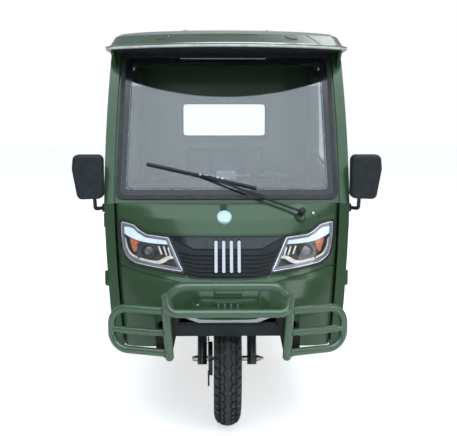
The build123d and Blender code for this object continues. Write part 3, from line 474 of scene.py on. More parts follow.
def turned(build, start, end, rings, sides=32):
    """Adds a turned shape between two places from rings of (share of the length, radius)."""
    start, end = Vector(start), Vector(end)
    length = (end - start).length
    verts = [build.verts.new((radius, 0, share * length)) for share, radius in rings]
    edges = [build.edges.new(pair) for pair in zip(verts, verts[1:])]
    bmesh.ops.spin(
        build, geom=verts + edges, cent=(0, 0, 0), axis=(0, 0, 1), angle=2 * pi, steps=sides, use_merge=True
    )
    whole, newest = set(verts), set(verts)
    while newest:
        newest = {e.other_vert(v) for v in newest for e in v.link_edges} - whole
        whole |= newest
    whole = list(whole)
    bmesh.ops.remove_doubles(build, verts=whole, dist=1e-6)
    whole = [v for v in whole if v.is_valid]
    bmesh.ops.transform(build, matrix=Matrix.Translation(start) @ facing_turn(end - start), verts=whole)
    bmesh.ops.recalc_face_normals(build, faces=list({f for v in whole for f in v.link_faces}))


seal_rubber = new_finish(
    "seal_rubber", (0.012, 0.013, 0.014), 0.55,
    shades=((40, 4), (0.009, 0.01, 0.011), (0.022, 0.023, 0.024)), bumps=[((420, 2), 0.0003)],
)

dust_seals = bmesh.new()
for side in (-1, 1):
    turned(
        dust_seals, on_fork(side * 0.11, 0, 0.166), on_fork(side * 0.11, 0, 0.192),
        [(0, 0.0165), (0, 0.0235), (0.5, 0.0238), (0.62, 0.0215), (0.9, 0.0195), (1, 0.0165)],
    )
finished("dust_seals", dust_seals, seal_rubber, "steering")

axle_nuts = bmesh.new()
turned(
    axle_nuts, at(0.1315, 0, hub_z), at(0.1635, 0, hub_z),
    [(0, 0), (0, 0.0135), (0.3, 0.0135), (0.34, 0.0095), (0.75, 0.0072), (1, 0.002), (1, 0)],
)
turned(
    axle_nuts, at(-0.1315, 0, hub_z), at(-0.1555, 0, hub_z),
    [(0, 0), (0, 0.0135), (0.36, 0.0135), (0.42, 0.0108), (0.8, 0.0102), (0.97, 0.006), (1, 0)],
)
finished("axle_nuts", axle_nuts, zinc, "steering")

pinch_bolts = bmesh.new()
backwards = on_fork(0, 1, 0) - on_fork(0, 0, 0)
for side in (-1, 1):
    for up in (0.012, 0.132):
        bolt(pinch_bolts, on_fork(side * 0.11, 0.021, up), backwards, 0.006)
    for x in (0.065, 0.11):
        bolt(pinch_bolts, on_fork(side * x, -0.0235, 0.344), -backwards, 0.006)
finished("pinch_bolts", pinch_bolts, zinc, "steering")

brake_rod = bmesh.new()
bent_rod(brake_rod, [on_fork(-0.082, -0.018, 0.0), on_fork(-0.082, -0.022, 0.32)], 0.0028)
for turn in range(9):
    up = 0.06 + 0.018 * turn
    turned(
        brake_rod, on_fork(-0.082, -0.0185 - 0.0000125 * up, up), on_fork(-0.082, -0.0187, up + 0.007),
        [(0, 0.0028), (0.2, 0.0052), (0.8, 0.0052), (1, 0.0028)], sides=12,
    )
finished("brake_rod", brake_rod, zinc, "steering")

# ---- Handlebar ----
# Bent tube handlebar in black with ribbed rubber grips, two cast brake levers and a switch pod
# beside each grip.
dress(fork_black, "handlebar")
grip_in = on_fork(0.227, 0.0997, 0.8693)
grip_out = on_fork(0.345, 0.127, 0.862)
grips = bmesh.new()
levers = bmesh.new()
pods = bmesh.new()
for side in (-1, 1):
    mirror_x = Vector((side, 1, 1))
    start, end = grip_in * mirror_x, grip_out * mirror_x
    rings = [(0, 0.0165), (0, 0.0205), (0.05, 0.0205)]
    for ridge in range(12):
        share = 0.08 + ridge * 0.073
        rings += [(share, 0.0172), (share + 0.02, 0.0186), (share + 0.045, 0.0186), (share + 0.06, 0.0172)]
    rings += [(0.97, 0.02), (0.995, 0.0195), (1.0, 0.012), (1.0, 0)]
    turned(grips, start, end, rings, sides=24)
    along = (end - start).normalized()
    ahead = Vector((0, -1, 0.12))
    bent_rod(
        levers,
        [start - along * 0.02 + ahead * 0.012, start + ahead * 0.045, start + along * 0.05 + ahead * 0.056,
         end + ahead * 0.05, end + along * 0.012 + ahead * 0.052],
        0.0055, smooth=True, taper=(1.5, 1.2, 1.0, 0.9, 1.4),
    )
    turned(
        pods, start - along * 0.052, start - along * 0.006,
        [(0, 0), (0, 0.018), (0.1, 0.0225), (0.9, 0.0225), (1, 0.019), (1, 0)], sides=24,
    )
finished("grips", grips, seal_rubber, "steering")
finished("brake_levers", levers, fork_black, "steering")
black_plastic = new_finish(
    "black_plastic", (0.011, 0.014, 0.016), 0.46, Specular_IOR_Level=0.35,
    shades=((30, 4), (0.009, 0.012, 0.014), (0.016, 0.019, 0.021)), bumps=[((700, 2), 0.0004, 0.8)],
)
finished("switch_pods", pods, black_plastic, "steering")

# ---- Cab floor ----
# Pressed steel tub in black: floor, firewall and the tunnel over the front wheel. A ribbed rubber
# mat lies on it and the brake pedal hangs from the firewall.
floor_black = new_finish(
    "floor_black", (0.018, 0.02, 0.022), 0.6,
    shades=((12, 6), (0.013, 0.015, 0.016), (0.032, 0.032, 0.031)), bumps=[((300, 3), 0.0007)],
)
dress(floor_black, "cab_floor")
mat = bmesh.new()
for x0, x1, y0, y1 in ((-0.43, 0.43, 0.41, 0.63), (0.31, 0.42, 0.05, 0.4), (-0.42, -0.31, 0.05, 0.4)):
    block(mat, at(x0, y0, 0.3852), at(x1, y1, 0.3885), 0.001, 1)
    ribs = int((x1 - x0) / 0.022)
    for rib in range(1, ribs):
        x = x0 + rib * (x1 - x0) / ribs
        block(mat, at(x - 0.004, y0 + 0.01, 0.388), at(x + 0.004, y1 - 0.01, 0.3915))
finished("floor_mat", mat, seal_rubber)

pedal = bmesh.new()
arm = ((0.033, 0.6), (0.075, 0.59), (0.13, 0.52), (0.158, 0.47))
bent_rod(pedal, [at(-0.365, y, z) for y, z in arm], 0.007, smooth=True)
block(pedal, at(-0.405, 0.152, 0.435), at(-0.325, 0.164, 0.495), 0.004)
for ridge in range(5):
    z = 0.443 + ridge * 0.0105
    block(pedal, at(-0.4, 0.163, z), at(-0.33, 0.167, z + 0.005))
finished("brake_pedal", pedal, fork_black)

# ---- Side frames, doors and their glass ----
# Steel body sides in deep green gloss paint under a clear coat. Each door hangs on two lift-off
# hinges and has clear glass in a rubber seal, a pull handle, a lock and a moulded trim with an
# armrest. It shuts on a rubber weatherstrip.
body_paint = new_finish(
    "green_gloss", (0.029, 0.062, 0.026), 0.2, Coat_Weight=0.35, Coat_Roughness=0.09,
    Specular_IOR_Level=0.4, Specular_Tint=(0.75, 0.95, 0.78, 1),
    shades=((5, 3), (0.028, 0.06, 0.025), (0.031, 0.065, 0.028)), rough=((12, 3), 0.17, 0.23),
    bumps=[((240, 1), 0.00022, 0.35)],
)
dress(body_paint, "side_frame_left", "side_frame_right", "door_left", "door_right")

glass = new_finish(
    "clear_glass", (0.93, 0.96, 0.97), 0.0, Transmission_Weight=1.0, IOR=1.5, rough=((5, 5), 0.0, 0.03),
)
dress(glass, "door_glass_left", "door_glass_right")


# The window opening seen from the side: (behind the front axle, height).
window_line = [(0.15, 1.075), (0.321, 1.545), (0.985, 1.545), (0.985, 1.15)]
window_corner = 0.045


def rounded(outline, radius, steps=5):
    """The outline's points with each corner rounded."""
    points = []
    count = len(outline)
    for index in range(count):
        corner = Vector(outline[index])
        back = Vector(outline[index - 1]) - corner
        ahead = Vector(outline[(index + 1) % count]) - corner
        half = back.angle(ahead) / 2
        reach = min(radius / tan(half), back.length / 2, ahead.length / 2)
        start, end = corner + back.normalized() * reach, corner + ahead.normalized() * reach
        for step in range(steps + 1):
            share = step / steps
            points.append(start.lerp(corner, share).lerp(corner.lerp(end, share), share))
    return points


# The door opening seen from the side, and how its corners are rounded.
door_line = [(0.075, 0.43), (0.075, 0.985), (0.2988, 1.6), (1.05, 1.6), (1.05, 0.43)]
door_corner = 0.045
strip_gap, strip_radius = 0.014, 0.006

for side, name in named_sides:
    frame_skin = skin(f"side_frame_{name}")
    middle = Vector((0.6, 1.0))
    strip_line = []
    for y, z in rounded(door_line, door_corner):
        outwards = (Vector((y, z)) - middle).normalized()
        on_frame = Vector((y, z)) + outwards * strip_gap
        hit = frame_skin((side * 0.2, axle_y + on_frame.x, on_frame.y), (side, 0, 0))[0]
        if hit:
            strip_line.append(at(hit.x - side * 0.0055, y - outwards.x * 0.001, z - outwards.y * 0.001))
    weatherstrip = bmesh.new()
    bent_rod(weatherstrip, strip_line, strip_radius, loop=True)
    finished(f"door_weatherstrip_{name}", weatherstrip, seal_rubber)

trim_y, trim_z, trim_length, trim_height = 0.565, 0.745, 0.86, 0.53
for side, name in named_sides:
    door_skin = skin(f"door_{name}")
    glass_skin = skin(f"door_glass_{name}")
    seal = bmesh.new()
    points = []
    seal_line = [(y + (0.004 if y < 0.6 else -0.004), z) for y, z in window_line]
    for y, z in rounded(seal_line, window_corner):
        inwards = (0.006 if y < 0.6 else -0.006, 0.006 if z < 1.3 else -0.006)
        hit = glass_skin(at(side * 2, y, z), (-side, 0, 0))[0]
        hit = hit or glass_skin(at(side * 2, y + inwards[0], z + inwards[1]), (-side, 0, 0))[0]
        if hit:
            points.append(hit + Vector((side * 0.004, 0, 0)))
    bent_rod(seal, points, 0.0085, loop=True)
    finished(f"window_seal_{name}", seal, seal_rubber, f"door_{name}")

    handle = bmesh.new()
    base = door_skin((side * 2, axle_y + 0.95, 0.985), (-side, 0, 0))[0]
    block(handle, base + Vector((-0.004, -0.075, -0.026)), base + Vector((0.006, 0.06, 0.026)), 0.004)
    middle = base + Vector((0.004 * side, 0, 0))
    block(handle, middle + Vector((-0.004, -0.06, -0.012)), middle + Vector((0.004, 0.03, 0.012)), 0.003)
    pull = ((0.004, -0.058), (0.022, -0.045), (0.026, 0.0), (0.02, 0.035), (0.004, 0.046))
    bent_rod(
        handle, [base + Vector((side * out, along, 0)) for out, along in pull], 0.0085, smooth=True,
        taper=(1.1, 0.9, 0.9, 0.9, 1.0),
    )
    finished(f"door_handle_{name}", handle, black_plastic, f"door_{name}")
    lock = bmesh.new()
    place = door_skin((side * 2, axle_y + 0.985, 0.94), (-side, 0, 0))[0]
    turned(
        lock, place - Vector((side * 0.004, 0, 0)), place + Vector((side * 0.006, 0, 0)),
        [(0, 0), (0, 0.012), (0.7, 0.012), (1, 0.009), (1, 0.004), (0.7, 0.003), (0.7, 0)],
    )
    finished(f"door_lock_{name}", lock, zinc, f"door_{name}")

    trim = bmesh.new()
    made = bmesh.ops.create_grid(trim, x_segments=14, y_segments=10, size=0.5)["verts"]
    for vert in made:
        y, z = trim_y + vert.co.x * trim_length, trim_z + vert.co.y * trim_height
        hit = door_skin((side * 0.2, axle_y + y, z), (side, 0, 0))[0]
        vert.co = (hit.x if hit else side * 0.48, axle_y + y, z)
    bmesh.ops.solidify(trim, geom=trim.faces[:], thickness=-0.005 * side)
    bmesh.ops.recalc_face_normals(trim, faces=trim.faces)
    rest = door_skin((side * 0.2, axle_y + 0.6, 0.83), (side, 0, 0))[0]
    block(trim, at(rest.x - side * 0.045, 0.42, 0.8), at(rest.x - side * 0.002, 0.8, 0.84), 0.012, 3)
    finished(f"door_trim_{name}", trim, black_plastic, f"door_{name}")

# ---- Rear panel and its window ----
# Pressed steel wall in body paint behind the seat. A swaged bead runs round its small fixed window,
# which sits in a rubber seal inside and out.
dress(body_paint, "rear_panel")
dress(glass, "rear_window")
rear_half, rear_low, rear_high = 0.236, 1.25, 1.436
for name, y, grow, radius, made, slot in (
    ("rear_bead_inside", 1.0898, 0.022, 0.0045, body_paint, "body_paint"),
    ("rear_bead_outside", 1.1202, 0.024, 0.005, body_paint, "body_paint"),
    ("rear_window_seal_inside", 1.0905, 0.0, 0.006, seal_rubber, "rubber"),
    ("rear_window_seal_outside", 1.1195, 0.0, 0.006, seal_rubber, "rubber"),
):
    bead = bmesh.new()
    half, low, high = rear_half + grow, rear_low - grow, rear_high + grow
    outline = rounded([(-half, low), (half, low), (half, high), (-half, high)], 0.024 + grow, 6)
    bent_rod(bead, [at(x, y, z) for x, z in outline], radius, loop=True)
    finished(name, bead, made)

# ---- Roof, visor and lining ----
# One moulded shell in body paint whose front reaches out as a visor. A pale extruded strip clips
# over its lip, a board and two gussets are fixed below the visor, and a moulded lining fills the
# roof. Board and lining are painted near-black: painted shade for the shade under the visor and roof.
roof_paint = new_finish(
    "roof_gloss", (0.031, 0.066, 0.032), 0.2, Coat_Weight=1.0, Coat_Roughness=0.28, Coat_IOR=1.6,
    shades=((5, 3), (0.03, 0.064, 0.031), (0.034, 0.07, 0.034)), bumps=[((240, 1), 0.00022, 0.35)],
)
dress(roof_paint, "roof")
lip_half, lip_y, lip_bow, lip_z = 0.53, -0.085, 0.155, 1.6475


def lip_edge(x, inset=0.0):
    """How far forward the visor's lip is at a place across."""
    return lip_y + inset + lip_bow * (x / lip_half) ** 2


roof_skin = skin("roof")
lip_trim = new_finish(
    "lip_trim", (0.52, 0.54, 0.5), 0.3, Coat_Weight=0.2,
    shades=((24, 4), (0.42, 0.45, 0.41), (0.62, 0.63, 0.6)), bumps=[((300, 1), 0.0002)],
)
strip = bmesh.new()
points = []
for step in range(41):
    turn = -78 + step * 156 / 40
    heading = Vector((sin(radians(turn)), -cos(radians(turn)), 0))
    hit = roof_skin(at(0, 0.45, lip_z) + heading * 2, -heading)[0]
    if hit:
        points.append(hit - heading * 0.001)
bent_rod(strip, points, 0.0058)
finished("lip_trim", strip, lip_trim)

# Near-black: painted shade standing in for the shade under the visor and inside the roof.
shade_black_lining = new_finish(
    "shade_black_lining", (0.006, 0.01, 0.013), 0.7, Specular_IOR_Level=0.25,
    shades=((60, 5), (0.004, 0.007, 0.009), (0.01, 0.014, 0.018)), bumps=[((900, 2), 0.0005)],
)
board = bmesh.new()
board_z = 1.6395
outline = [at(x / 10 * 0.495, lip_edge(x / 10 * 0.495, 0.014), board_z) for x in range(-10, 11)]
outline += [at(0.492, 0.225, board_z), at(-0.492, 0.225, board_z)]
face = board.faces.new([board.verts.new(place) for place in outline])
extruded(board, [face], (0, 0, -0.003))
bmesh.ops.recalc_face_normals(board, faces=board.faces)
finished("visor_board", board, shade_black_lining)

lining = bmesh.new()
made = bmesh.ops.create_cube(lining, size=1)["verts"]
bmesh.ops.scale(lining, vec=(0.94, 0.826, 0.062), verts=made)
bmesh.ops.translate(lining, vec=at(0, 0.671, 1.6405 + 0.031), verts=made)
for vert in made:
    if vert.co.z > 1.66:
        vert.co.x *= 0.9
        vert.co.y += 0.04 if vert.co.y < axle_y + 0.6 else -0.04
bmesh.ops.delete(lining, geom=[f for f in lining.faces if f.normal.z < -0.5], context="FACES")
bevel(lining, [e for e in lining.edges if not e.is_boundary], 0.03, 4)
bmesh.ops.recalc_face_normals(lining, faces=lining.faces)
bmesh.ops.solidify(lining, geom=lining.faces[:], thickness=0.003)
finished("roof_lining", lining, shade_black_lining)

roof_marks = bmesh.new()
for side in (-1, 1):
    hit, facing = ahead_of(roof_skin, side * 0.273, 1.688)
    made = bmesh.ops.create_circle(roof_marks, cap_ends=True, segments=6, radius=0.5)["verts"]
    bmesh.ops.scale(roof_marks, vec=(0.066, 0.03, 1), verts=made)
    bmesh.ops.transform(
        roof_marks, matrix=Matrix.Translation(hit - facing * 0.002) @ facing_turn(facing), verts=made
    )
    raised = extruded(roof_marks, list(made[0].link_faces), (0, 0, 0))
    middle = sum((v.co for v in raised), Vector()) / len(raised)
    for vert in raised:
        vert.co = middle + (vert.co - middle) * 0.86 + facing * 0.006
bmesh.ops.recalc_face_normals(roof_marks, faces=roof_marks.faces)
for side in (-1, 1):
    crease = []
    for share in (step / 6 for step in range(7)):
        x, z = side * (0.34 + 0.059 * share), 1.702 - 0.041 * share
        crease.append(ahead_of(roof_skin, x, z)[0])
    bent_rod(roof_marks, crease, 0.0016)
band = [ahead_of(roof_skin, x / 10 * 0.127, 1.7)[0] for x in range(-10, 11)]
bent_rod(roof_marks, band, 0.003)
finished("roof_marks", roof_marks, roof_paint)

gussets = bmesh.new()
for side in (-1, 1):
    made = bmesh.ops.create_cube(gussets, size=1)["verts"]
    bmesh.ops.scale(gussets, vec=(0.012, 0.12, 0.06), verts=made)
    for vert in made:
        if vert.co.z < 0 and vert.co.y < 0:
            vert.co.y += 0.09
    bmesh.ops.translate(gussets, vec=at(side * 0.497, 0.14, 1.608), verts=made)
finished("visor_gussets", gussets, body_paint)

# ---- Windscreen ----
# Bonded laminated glass in a wide rubber seal, with a fired black border that ends in a row of
# dots. A pale trim strip runs along the seal's top.
dress(body_paint, "windscreen_frame")
dress(seal_rubber, "windscreen_seal")
screen_glass = new_finish(
    "windscreen_glass", (0.9, 0.94, 0.96), 0.0, Transmission_Weight=1.0, IOR=1.62,
    rough=((4, 6), 0.0, 0.03),
)
dress(screen_glass, "windscreen")

screen_rake = radians(20)


def on_screen(x, up, ahead):
    """A place across and up the windscreen's slope from its foot, and ahead of its frame."""
    lean, rise = sin(screen_rake), cos(screen_rake)
    return at(x, -0.02 + up * lean - ahead * rise, 0.985 + up * rise + ahead * lean)


def screen_outline(inset, corner):
    """The windscreen's outline moved in by inset, its corners rounded: (across, up the slope)."""
    low_half, high_half, low, high = 0.4805, 0.4675, 0.016, 0.691
    points = [(-low_half + inset, low + inset), (low_half - inset, low + inset),
              (high_half - inset, high - inset), (-high_half + inset, high - inset)]
    return rounded(points, corner, 6)


def spaced(points, pitch, least=1):
    """A closed line's points with more between them, about a pitch apart."""
    finer = []
    for here, there in zip(points, points[1:] + points[:1]):
        count = max(least, round(hypot(there[0] - here[0], there[1] - here[1]) / pitch))
        finer += [tuple(a + (b - a) * step / count for a, b in zip(here, there)) for step in range(count)]
    return finer


frit_black = new_finish(
    "fired_border", (0.006, 0.009, 0.012), 0.12,
    shades=((80, 3), (0.004, 0.006, 0.009), (0.011, 0.015, 0.018)), bumps=[((600, 1), 0.0001)],
)
frit_ahead = 0.0043
frit = bmesh.new()
loops = []
for inset, corner in ((0.0176, 0.017), (0.043, 0.022)):
    verts = [frit.verts.new(on_screen(x, up, frit_ahead)) for x, up in screen_outline(inset, corner)]
    loops += [frit.edges.new(pair) for pair in zip(verts, verts[1:] + verts[:1])]
bmesh.ops.bridge_loops(frit, edges=loops)
dot_tilt = Matrix.Rotation(pi / 2 - screen_rake, 4, "X")
for x, up in spaced(screen_outline(0.0485, 0.024), 0.0085):
    bmesh.ops.create_circle(
        frit, cap_ends=True, segments=8, radius=0.0026,
        matrix=Matrix.Translation(on_screen(x, up, frit_ahead)) @ dot_tilt,
    )
bmesh.ops.recalc_face_normals(frit, faces=frit.faces)
finished("windscreen_border", frit, frit_black)

top_strip = bmesh.new()
bent_rod(top_strip, [on_screen(-0.207, 0.668, 0.0055), on_screen(0.176, 0.668, 0.0055)], 0.0016)
finished("screen_top_strip", top_strip, lip_trim)

# ---- Front panel ----
# The nose: one bowed pressing in body paint with a joint line under the lamps, a rolled lip under
# the grille, a stamped plate with four ribs behind the guard, and a plain round disc on the cowl.
nose_paint = body_paint.copy()
nose_paint.name = "green_gloss_nose"
crease = wire(nose_paint.node_tree, "Bevel", {"Radius": 0.02})
crease.samples = 6
for node in nose_paint.node_tree.nodes:
    if node.type == "BUMP":
        nose_paint.node_tree.links.new(crease.outputs[0], node.inputs["Normal"])
dress(nose_paint, "front_panel")
nose_skin = skin("front_panel", "headlamp_lenses", "grille")


def on_nose(x, z, proud=0.0):
    """The place on the nose straight ahead of a point across and up, standing proud."""
    hit = ahead_of(nose_skin, x, z)[0]
    return (hit or at(x, -0.1, z)) - Vector((0, proud, 0))


gap_black = new_finish("joint_gap", (0.006, 0.008, 0.008), 0.8, bumps=[((300, 1), 0.0003)])
joint = bmesh.new()
for side in (-1, 1):
    seam = [(0.47, 0.728), (0.445, 0.717), (0.38, 0.703), (0.3, 0.688), (0.215, 0.674), (0.12, 0.664)]
    bent_rod(joint, [on_nose(side * x, z, -0.0008) for x, z in seam], 0.0022)
finished("nose_joint", joint, gap_black)

lips = bmesh.new()
lip_line = ((0, 0.683), (0.06, 0.6835), (0.12, 0.6865), (0.165, 0.6915))
lip_line = [(-x, z) for x, z in reversed(lip_line[1:])] + list(lip_line)
bent_rod(lips, [on_nose(x, z, -0.001) for x, z in lip_line], 0.0034)
for side in (-1, 1):
    line = ((0.176, 0.6905), (0.235, 0.6975), (0.302, 0.7075))
    bent_rod(lips, [on_nose(side * x, z, -0.001) for x, z in line], 0.003)
finished("nose_lips", lips, body_paint)


def soften(build, edge):
    """Turns every face outwards and rounds the sharp edges."""
    bmesh.ops.recalc_face_normals(build, faces=build.faces)
    bevel(build, [e for e in build.edges if e.is_manifold and e.calc_face_angle(0) > 1.0], edge)


def nose_slab(build, low_x, high_x, low_z, high_z, proud, taper=0.0, cuts=6):
    """A raised flat shape that follows the nose between two heights, narrower below by taper."""
    verts = bmesh.ops.create_grid(build, x_segments=cuts, y_segments=2, size=0.5)["verts"]
    for vert in verts:
        share = vert.co.y + 0.5
        half = (high_x - low_x) / 2 - taper * (1 - share)
        x = (low_x + high_x) / 2 + vert.co.x * 2 * half
        vert.co = on_nose(x, low_z + share * (high_z - low_z), -0.001)
    faces = list({f for v in verts for f in v.link_faces})
    extruded(build, faces, (0, -proud - 0.001, 0))


plate = bmesh.new()
nose_slab(plate, -0.145, 0.145, 0.575, 0.644, 0.004, 0.02, 10)
nose_slab(plate, -0.06, 0.06, 0.617, 0.65, 0.009, 0.004)
nose_slab(plate, -0.064, 0.064, 0.596, 0.608, 0.012)
for rib in (-1.5, -0.5, 0.5, 1.5):
    nose_slab(plate, rib * 0.0265 - 0.006, rib * 0.0265 + 0.006, 0.558, 0.597, 0.012, 0.001, 2)
soften(plate, 0.002)
finished("nose_plate", plate, body_paint)

pale_disc = new_finish(
    "pale_disc", (0.5, 0.68, 0.64), 0.3, Coat_Weight=0.4,
    shades=((40, 3), (0.46, 0.64, 0.6), (0.54, 0.71, 0.67)), rough=((90, 2), 0.18, 0.3),
)


def stud(build, x, z, sunk, proud, rings, sides=20):
    """Adds a turned shape square to the nose, from a depth below its face to a height above it."""
    spot, facing = ahead_of(nose_skin, x, z)
    turned(build, spot - facing * sunk, spot + facing * proud, rings, sides)


disc = bmesh.new()
disc_rings = [(0, 0), (0, 0.032), (0.75, 0.032), (0.95, 0.0295), (1, 0.026), (1, 0)]
stud(disc, -0.013, 0.932, 0.014, 0.009, disc_rings, 48)
finished("cowl_disc", disc, pale_disc)

fixings = bmesh.new()
washer_rings = [(0, 0), (0, 0.0075), (0.4, 0.0075), (0.8, 0.006), (1, 0.003), (1, 0)]
stud(fixings, 0.37, 0.943, 0.002, 0.005, washer_rings)
stud(fixings, -0.122, 0.586, 0, 0.01, [(0, 0), (0, 0.007), (0.5, 0.007), (1, 0.004), (1, 0)])
finished("nose_fixings", fixings, zinc)
plug = bmesh.new()
plug_rings = [(0, 0), (0, 0.006), (1, 0.006), (1, 0.004), (0.4, 0.0035), (0.4, 0)]
stud(plug, 0.395, 0.931, 0.003, 0.0012, plug_rings)
finished("cowl_plug", plug, gap_black)

# ---- Headlamps ----
# Each lamp is a black moulded housing under a clear lens in a rubber gasket. Inside are a smoked
# bezel with a bright line, a frosted light bar along the top, an amber turn lamp, a projector, a
# pale L-shaped guide and three slats.
lamp_black = new_finish(
    "lamp_black", (0.008, 0.01, 0.012), 0.3, shades=((30, 3), (0.006, 0.008, 0.01), (0.014, 0.017, 0.02)),
    bumps=[((500, 1), 0.0002)],
)
dress(lamp_black, "headlamp_housings")
lens_clear = new_finish(
    "lens_clear", (0.93, 0.95, 0.97), 0.0, Transmission_Weight=1.0, IOR=1.35, rough=((8, 3), 0.0, 0.02),
)
dress(lens_clear, "headlamp_lenses")

bright = new_finish("bright_metal", (0.72, 0.74, 0.78), 0.12, 1.0, rough=((60, 3, (1, 1, 0.1)), 0.08, 0.22))
smoked = new_finish(
    "smoked_metal", (0.17, 0.19, 0.22), 0.4, 0.6, shades=((8, 2), (0.15, 0.17, 0.2), (0.2, 0.22, 0.25)),
    rough=((20, 2), 0.36, 0.44),
)
frosted = new_finish(
    "frosted_guide", (0.7, 0.8, 0.95), 0.25, Coat_Weight=0.5, Emission_Color=(0.75, 0.85, 1.0, 1),
    Emission_Strength=0.22, shades=((22, 4), (0.62, 0.73, 0.92), (0.82, 0.9, 1.0)),
)
pale_guide = new_finish(
    "pale_guide", (0.75, 0.7, 0.6), 0.3, Coat_Weight=0.4, Emission_Color=(0.9, 0.85, 0.72, 1),
    Emission_Strength=0.12, shades=((50, 4), (0.62, 0.56, 0.46), (0.85, 0.8, 0.7)),
)
amber = new_finish(
    "amber_lens", (0.45, 0.1, 0.015), 0.2, Coat_Weight=0.5, Emission_Color=(0.7, 0.16, 0.03, 1),
    Emission_Strength=0.12, shades=((90, 3), (0.34, 0.07, 0.012), (0.58, 0.15, 0.03)),
)
dark_glass = new_finish(
    "projector_glass", (0.02, 0.024, 0.028), 0.03, Coat_Weight=1.0, Coat_Roughness=0.02,
    shades=((45, 2), (0.012, 0.015, 0.018), (0.05, 0.056, 0.06)),
)

lens_skin = skin("headlamp_lenses")
# The lamp's outline from ahead, the left one: (across, height).
lamp_line = [
    (0.245, 0.854), (0.174, 0.703), (0.319, 0.719), (0.397, 0.73), (0.423, 0.745), (0.444, 0.764),
    (0.455, 0.797), (0.461, 0.841), (0.464, 0.905), (0.453, 0.914), (0.397, 0.902), (0.37, 0.879),
    (0.342, 0.864),
]


def in_lamp(side, x, z, depth):
    """A place behind the lens's front face, straight back from a point across and up."""
    hit = ahead_of(lens_skin, side * x, z)[0]
    return (hit or on_nose(side * x, z)) + Vector((0, depth, 0))


def eased(points, loop):
    """The points with their corners cut: twice on an open line, and only at the tips on a loop."""
    if loop:
        points = spaced(points, 0.012, 2)
    for turn in range(2):
        cut = [] if loop else [points[0]]
        for here, there in zip(points, points[1:] + points[:1] if loop else points[1:]):
            for share in (0.25, 0.75):
                cut.append(tuple(a + (b - a) * share for a, b in zip(here, there)))
        points = cut if loop else cut + [points[-1]]
    return points


def lamp_strip(build, side, points, depth, thick, loop=False):
    """Adds a flat strip inside the lamp from (across, height, half width) points, as deep as depth."""
    points = eased(points, loop)
    befores = [points[-1] if loop else points[0]] + points[:-1]
    afters = points[1:] + [points[0] if loop else points[-1]]
    rows = []
    for before, (x, z, half), after in zip(befores, points, afters):
        run = Vector((after[0] - before[0], after[1] - before[1])).normalized()
        places = [in_lamp(side, x - run.y * way, z + run.x * way, depth) for way in (half, -half)]
        rows.append([build.verts.new(place) for place in places])
    pairs = zip(rows, rows[1:] + rows[:1] if loop else rows[1:])
    extruded(build, [build.faces.new((a[0], a[1], b[1], b[0])) for a, b in pairs], (0, -thick, 0))


def lamp_part(name, made, strips, edge=0.001, loop=False):
    """One kind of part in both lamps, from strips of (points, depth, thickness)."""
    build = bmesh.new()
    for side in (-1, 1):
        for points, depth, thick in strips:
            lamp_strip(build, side, points, depth, thick, loop)
    soften(build, edge)
    finished(name, build, made)


def lamp_inset(distance, half):
    """The lamp's outline moved inwards, as strip points of one half width."""
    points = []
    count = len(lamp_line)
    for index in range(count):
        before, here, after = (Vector(lamp_line[(index + step) % count]) for step in (-1, 0, 1))
        first = (here - before).normalized()
        second = (after - here).normalized()
        lean = Vector((-first.y - second.y, first.x + second.x)).normalized()
        widen = 1 / max(0.5, lean.dot(Vector((-second.y, second.x))))
        points.append((*(here + lean * distance * widen), half))
    return points


lamp_part("lamp_bezels", smoked, [(lamp_inset(0.0135, 0.0075), 0.014, 0.005)], loop=True)
bright_line = lamp_inset(0.0085, 0.0013)
lamp_part("lamp_bright_lines", bright, [(bright_line, 0.009, 0.003)], 0.0004, True)
brow = ((0.44, 0.888), (0.4, 0.884), (0.372, 0.862), (0.342, 0.848), (0.252, 0.843))
inner_bar = [(0.24, 0.836, 0.01), (0.221, 0.79, 0.011), (0.199, 0.738, 0.009), (0.189, 0.716, 0.003)]
brow_strip = [(x, z, 0.002) for x, z in brow]
lamp_part("lamp_inner_bars", smoked, [(inner_bar, 0.012, 0.006), (brow_strip, 0.016, 0.006)])
lamp_part("lamp_light_bars", frosted, [(
    [(0.447, 0.874, 0.011), (0.428, 0.868, 0.018), (0.404, 0.858, 0.02), (0.378, 0.847, 0.018),
     (0.356, 0.838, 0.014), (0.325, 0.832, 0.0115), (0.285, 0.829, 0.0105), (0.246, 0.827, 0.0095)],
    0.022, 0.01,
)])
guide = [
    (0.446, 0.838, 0.003), (0.437, 0.832, 0.004), (0.434, 0.806, 0.0045), (0.421, 0.778, 0.0045),
    (0.403, 0.762, 0.0045), (0.366, 0.751, 0.005), (0.323, 0.742, 0.0055), (0.288, 0.741, 0.007),
    (0.267, 0.752, 0.009), (0.247, 0.765, 0.007), (0.224, 0.765, 0.004),
]
slats = ((0.291, 0.809, 0.277, 0.776), (0.269, 0.808, 0.256, 0.772), (0.25, 0.805, 0.238, 0.768))
lamp_part("lamp_guides", pale_guide, [(guide, 0.024, 0.008)] + [
    ([(x0, z0, 0.0035), (x1, z1, 0.0035)], 0.022, 0.006) for x0, z0, x1, z1 in slats
])
turn_line = [(0.3965, 0.834, 0.021), (0.396, 0.818, 0.018), (0.3955, 0.8, 0.012), (0.395, 0.78, 0.006)]
lamp_part("lamp_turn_lamps", amber, [(turn_line, 0.027, 0.006)])
projectors = bmesh.new()
lenses = bmesh.new()
for side in (-1, 1):
    centre = in_lamp(side, 0.333, 0.786, 0.03)
    block(projectors, centre - Vector((0.05, 0.004, 0.034)), centre + Vector((0.046, 0.004, 0.032)), 0.003)
    turned(
        projectors, centre, centre - Vector((0, 0.017, 0)),
        [(0, 0), (0, 0.031), (0.85, 0.031), (1, 0.028), (1, 0.0235), (0.6, 0.0215), (0.6, 0)],
    )
    turned(
        lenses, centre - Vector((0, 0.008, 0)), centre - Vector((0, 0.02, 0)),
        [(0, 0), (0, 0.021), (0.45, 0.0195), (0.75, 0.014), (0.93, 0.0075), (1, 0)],
    )
finished("lamp_projectors", projectors, lamp_black)
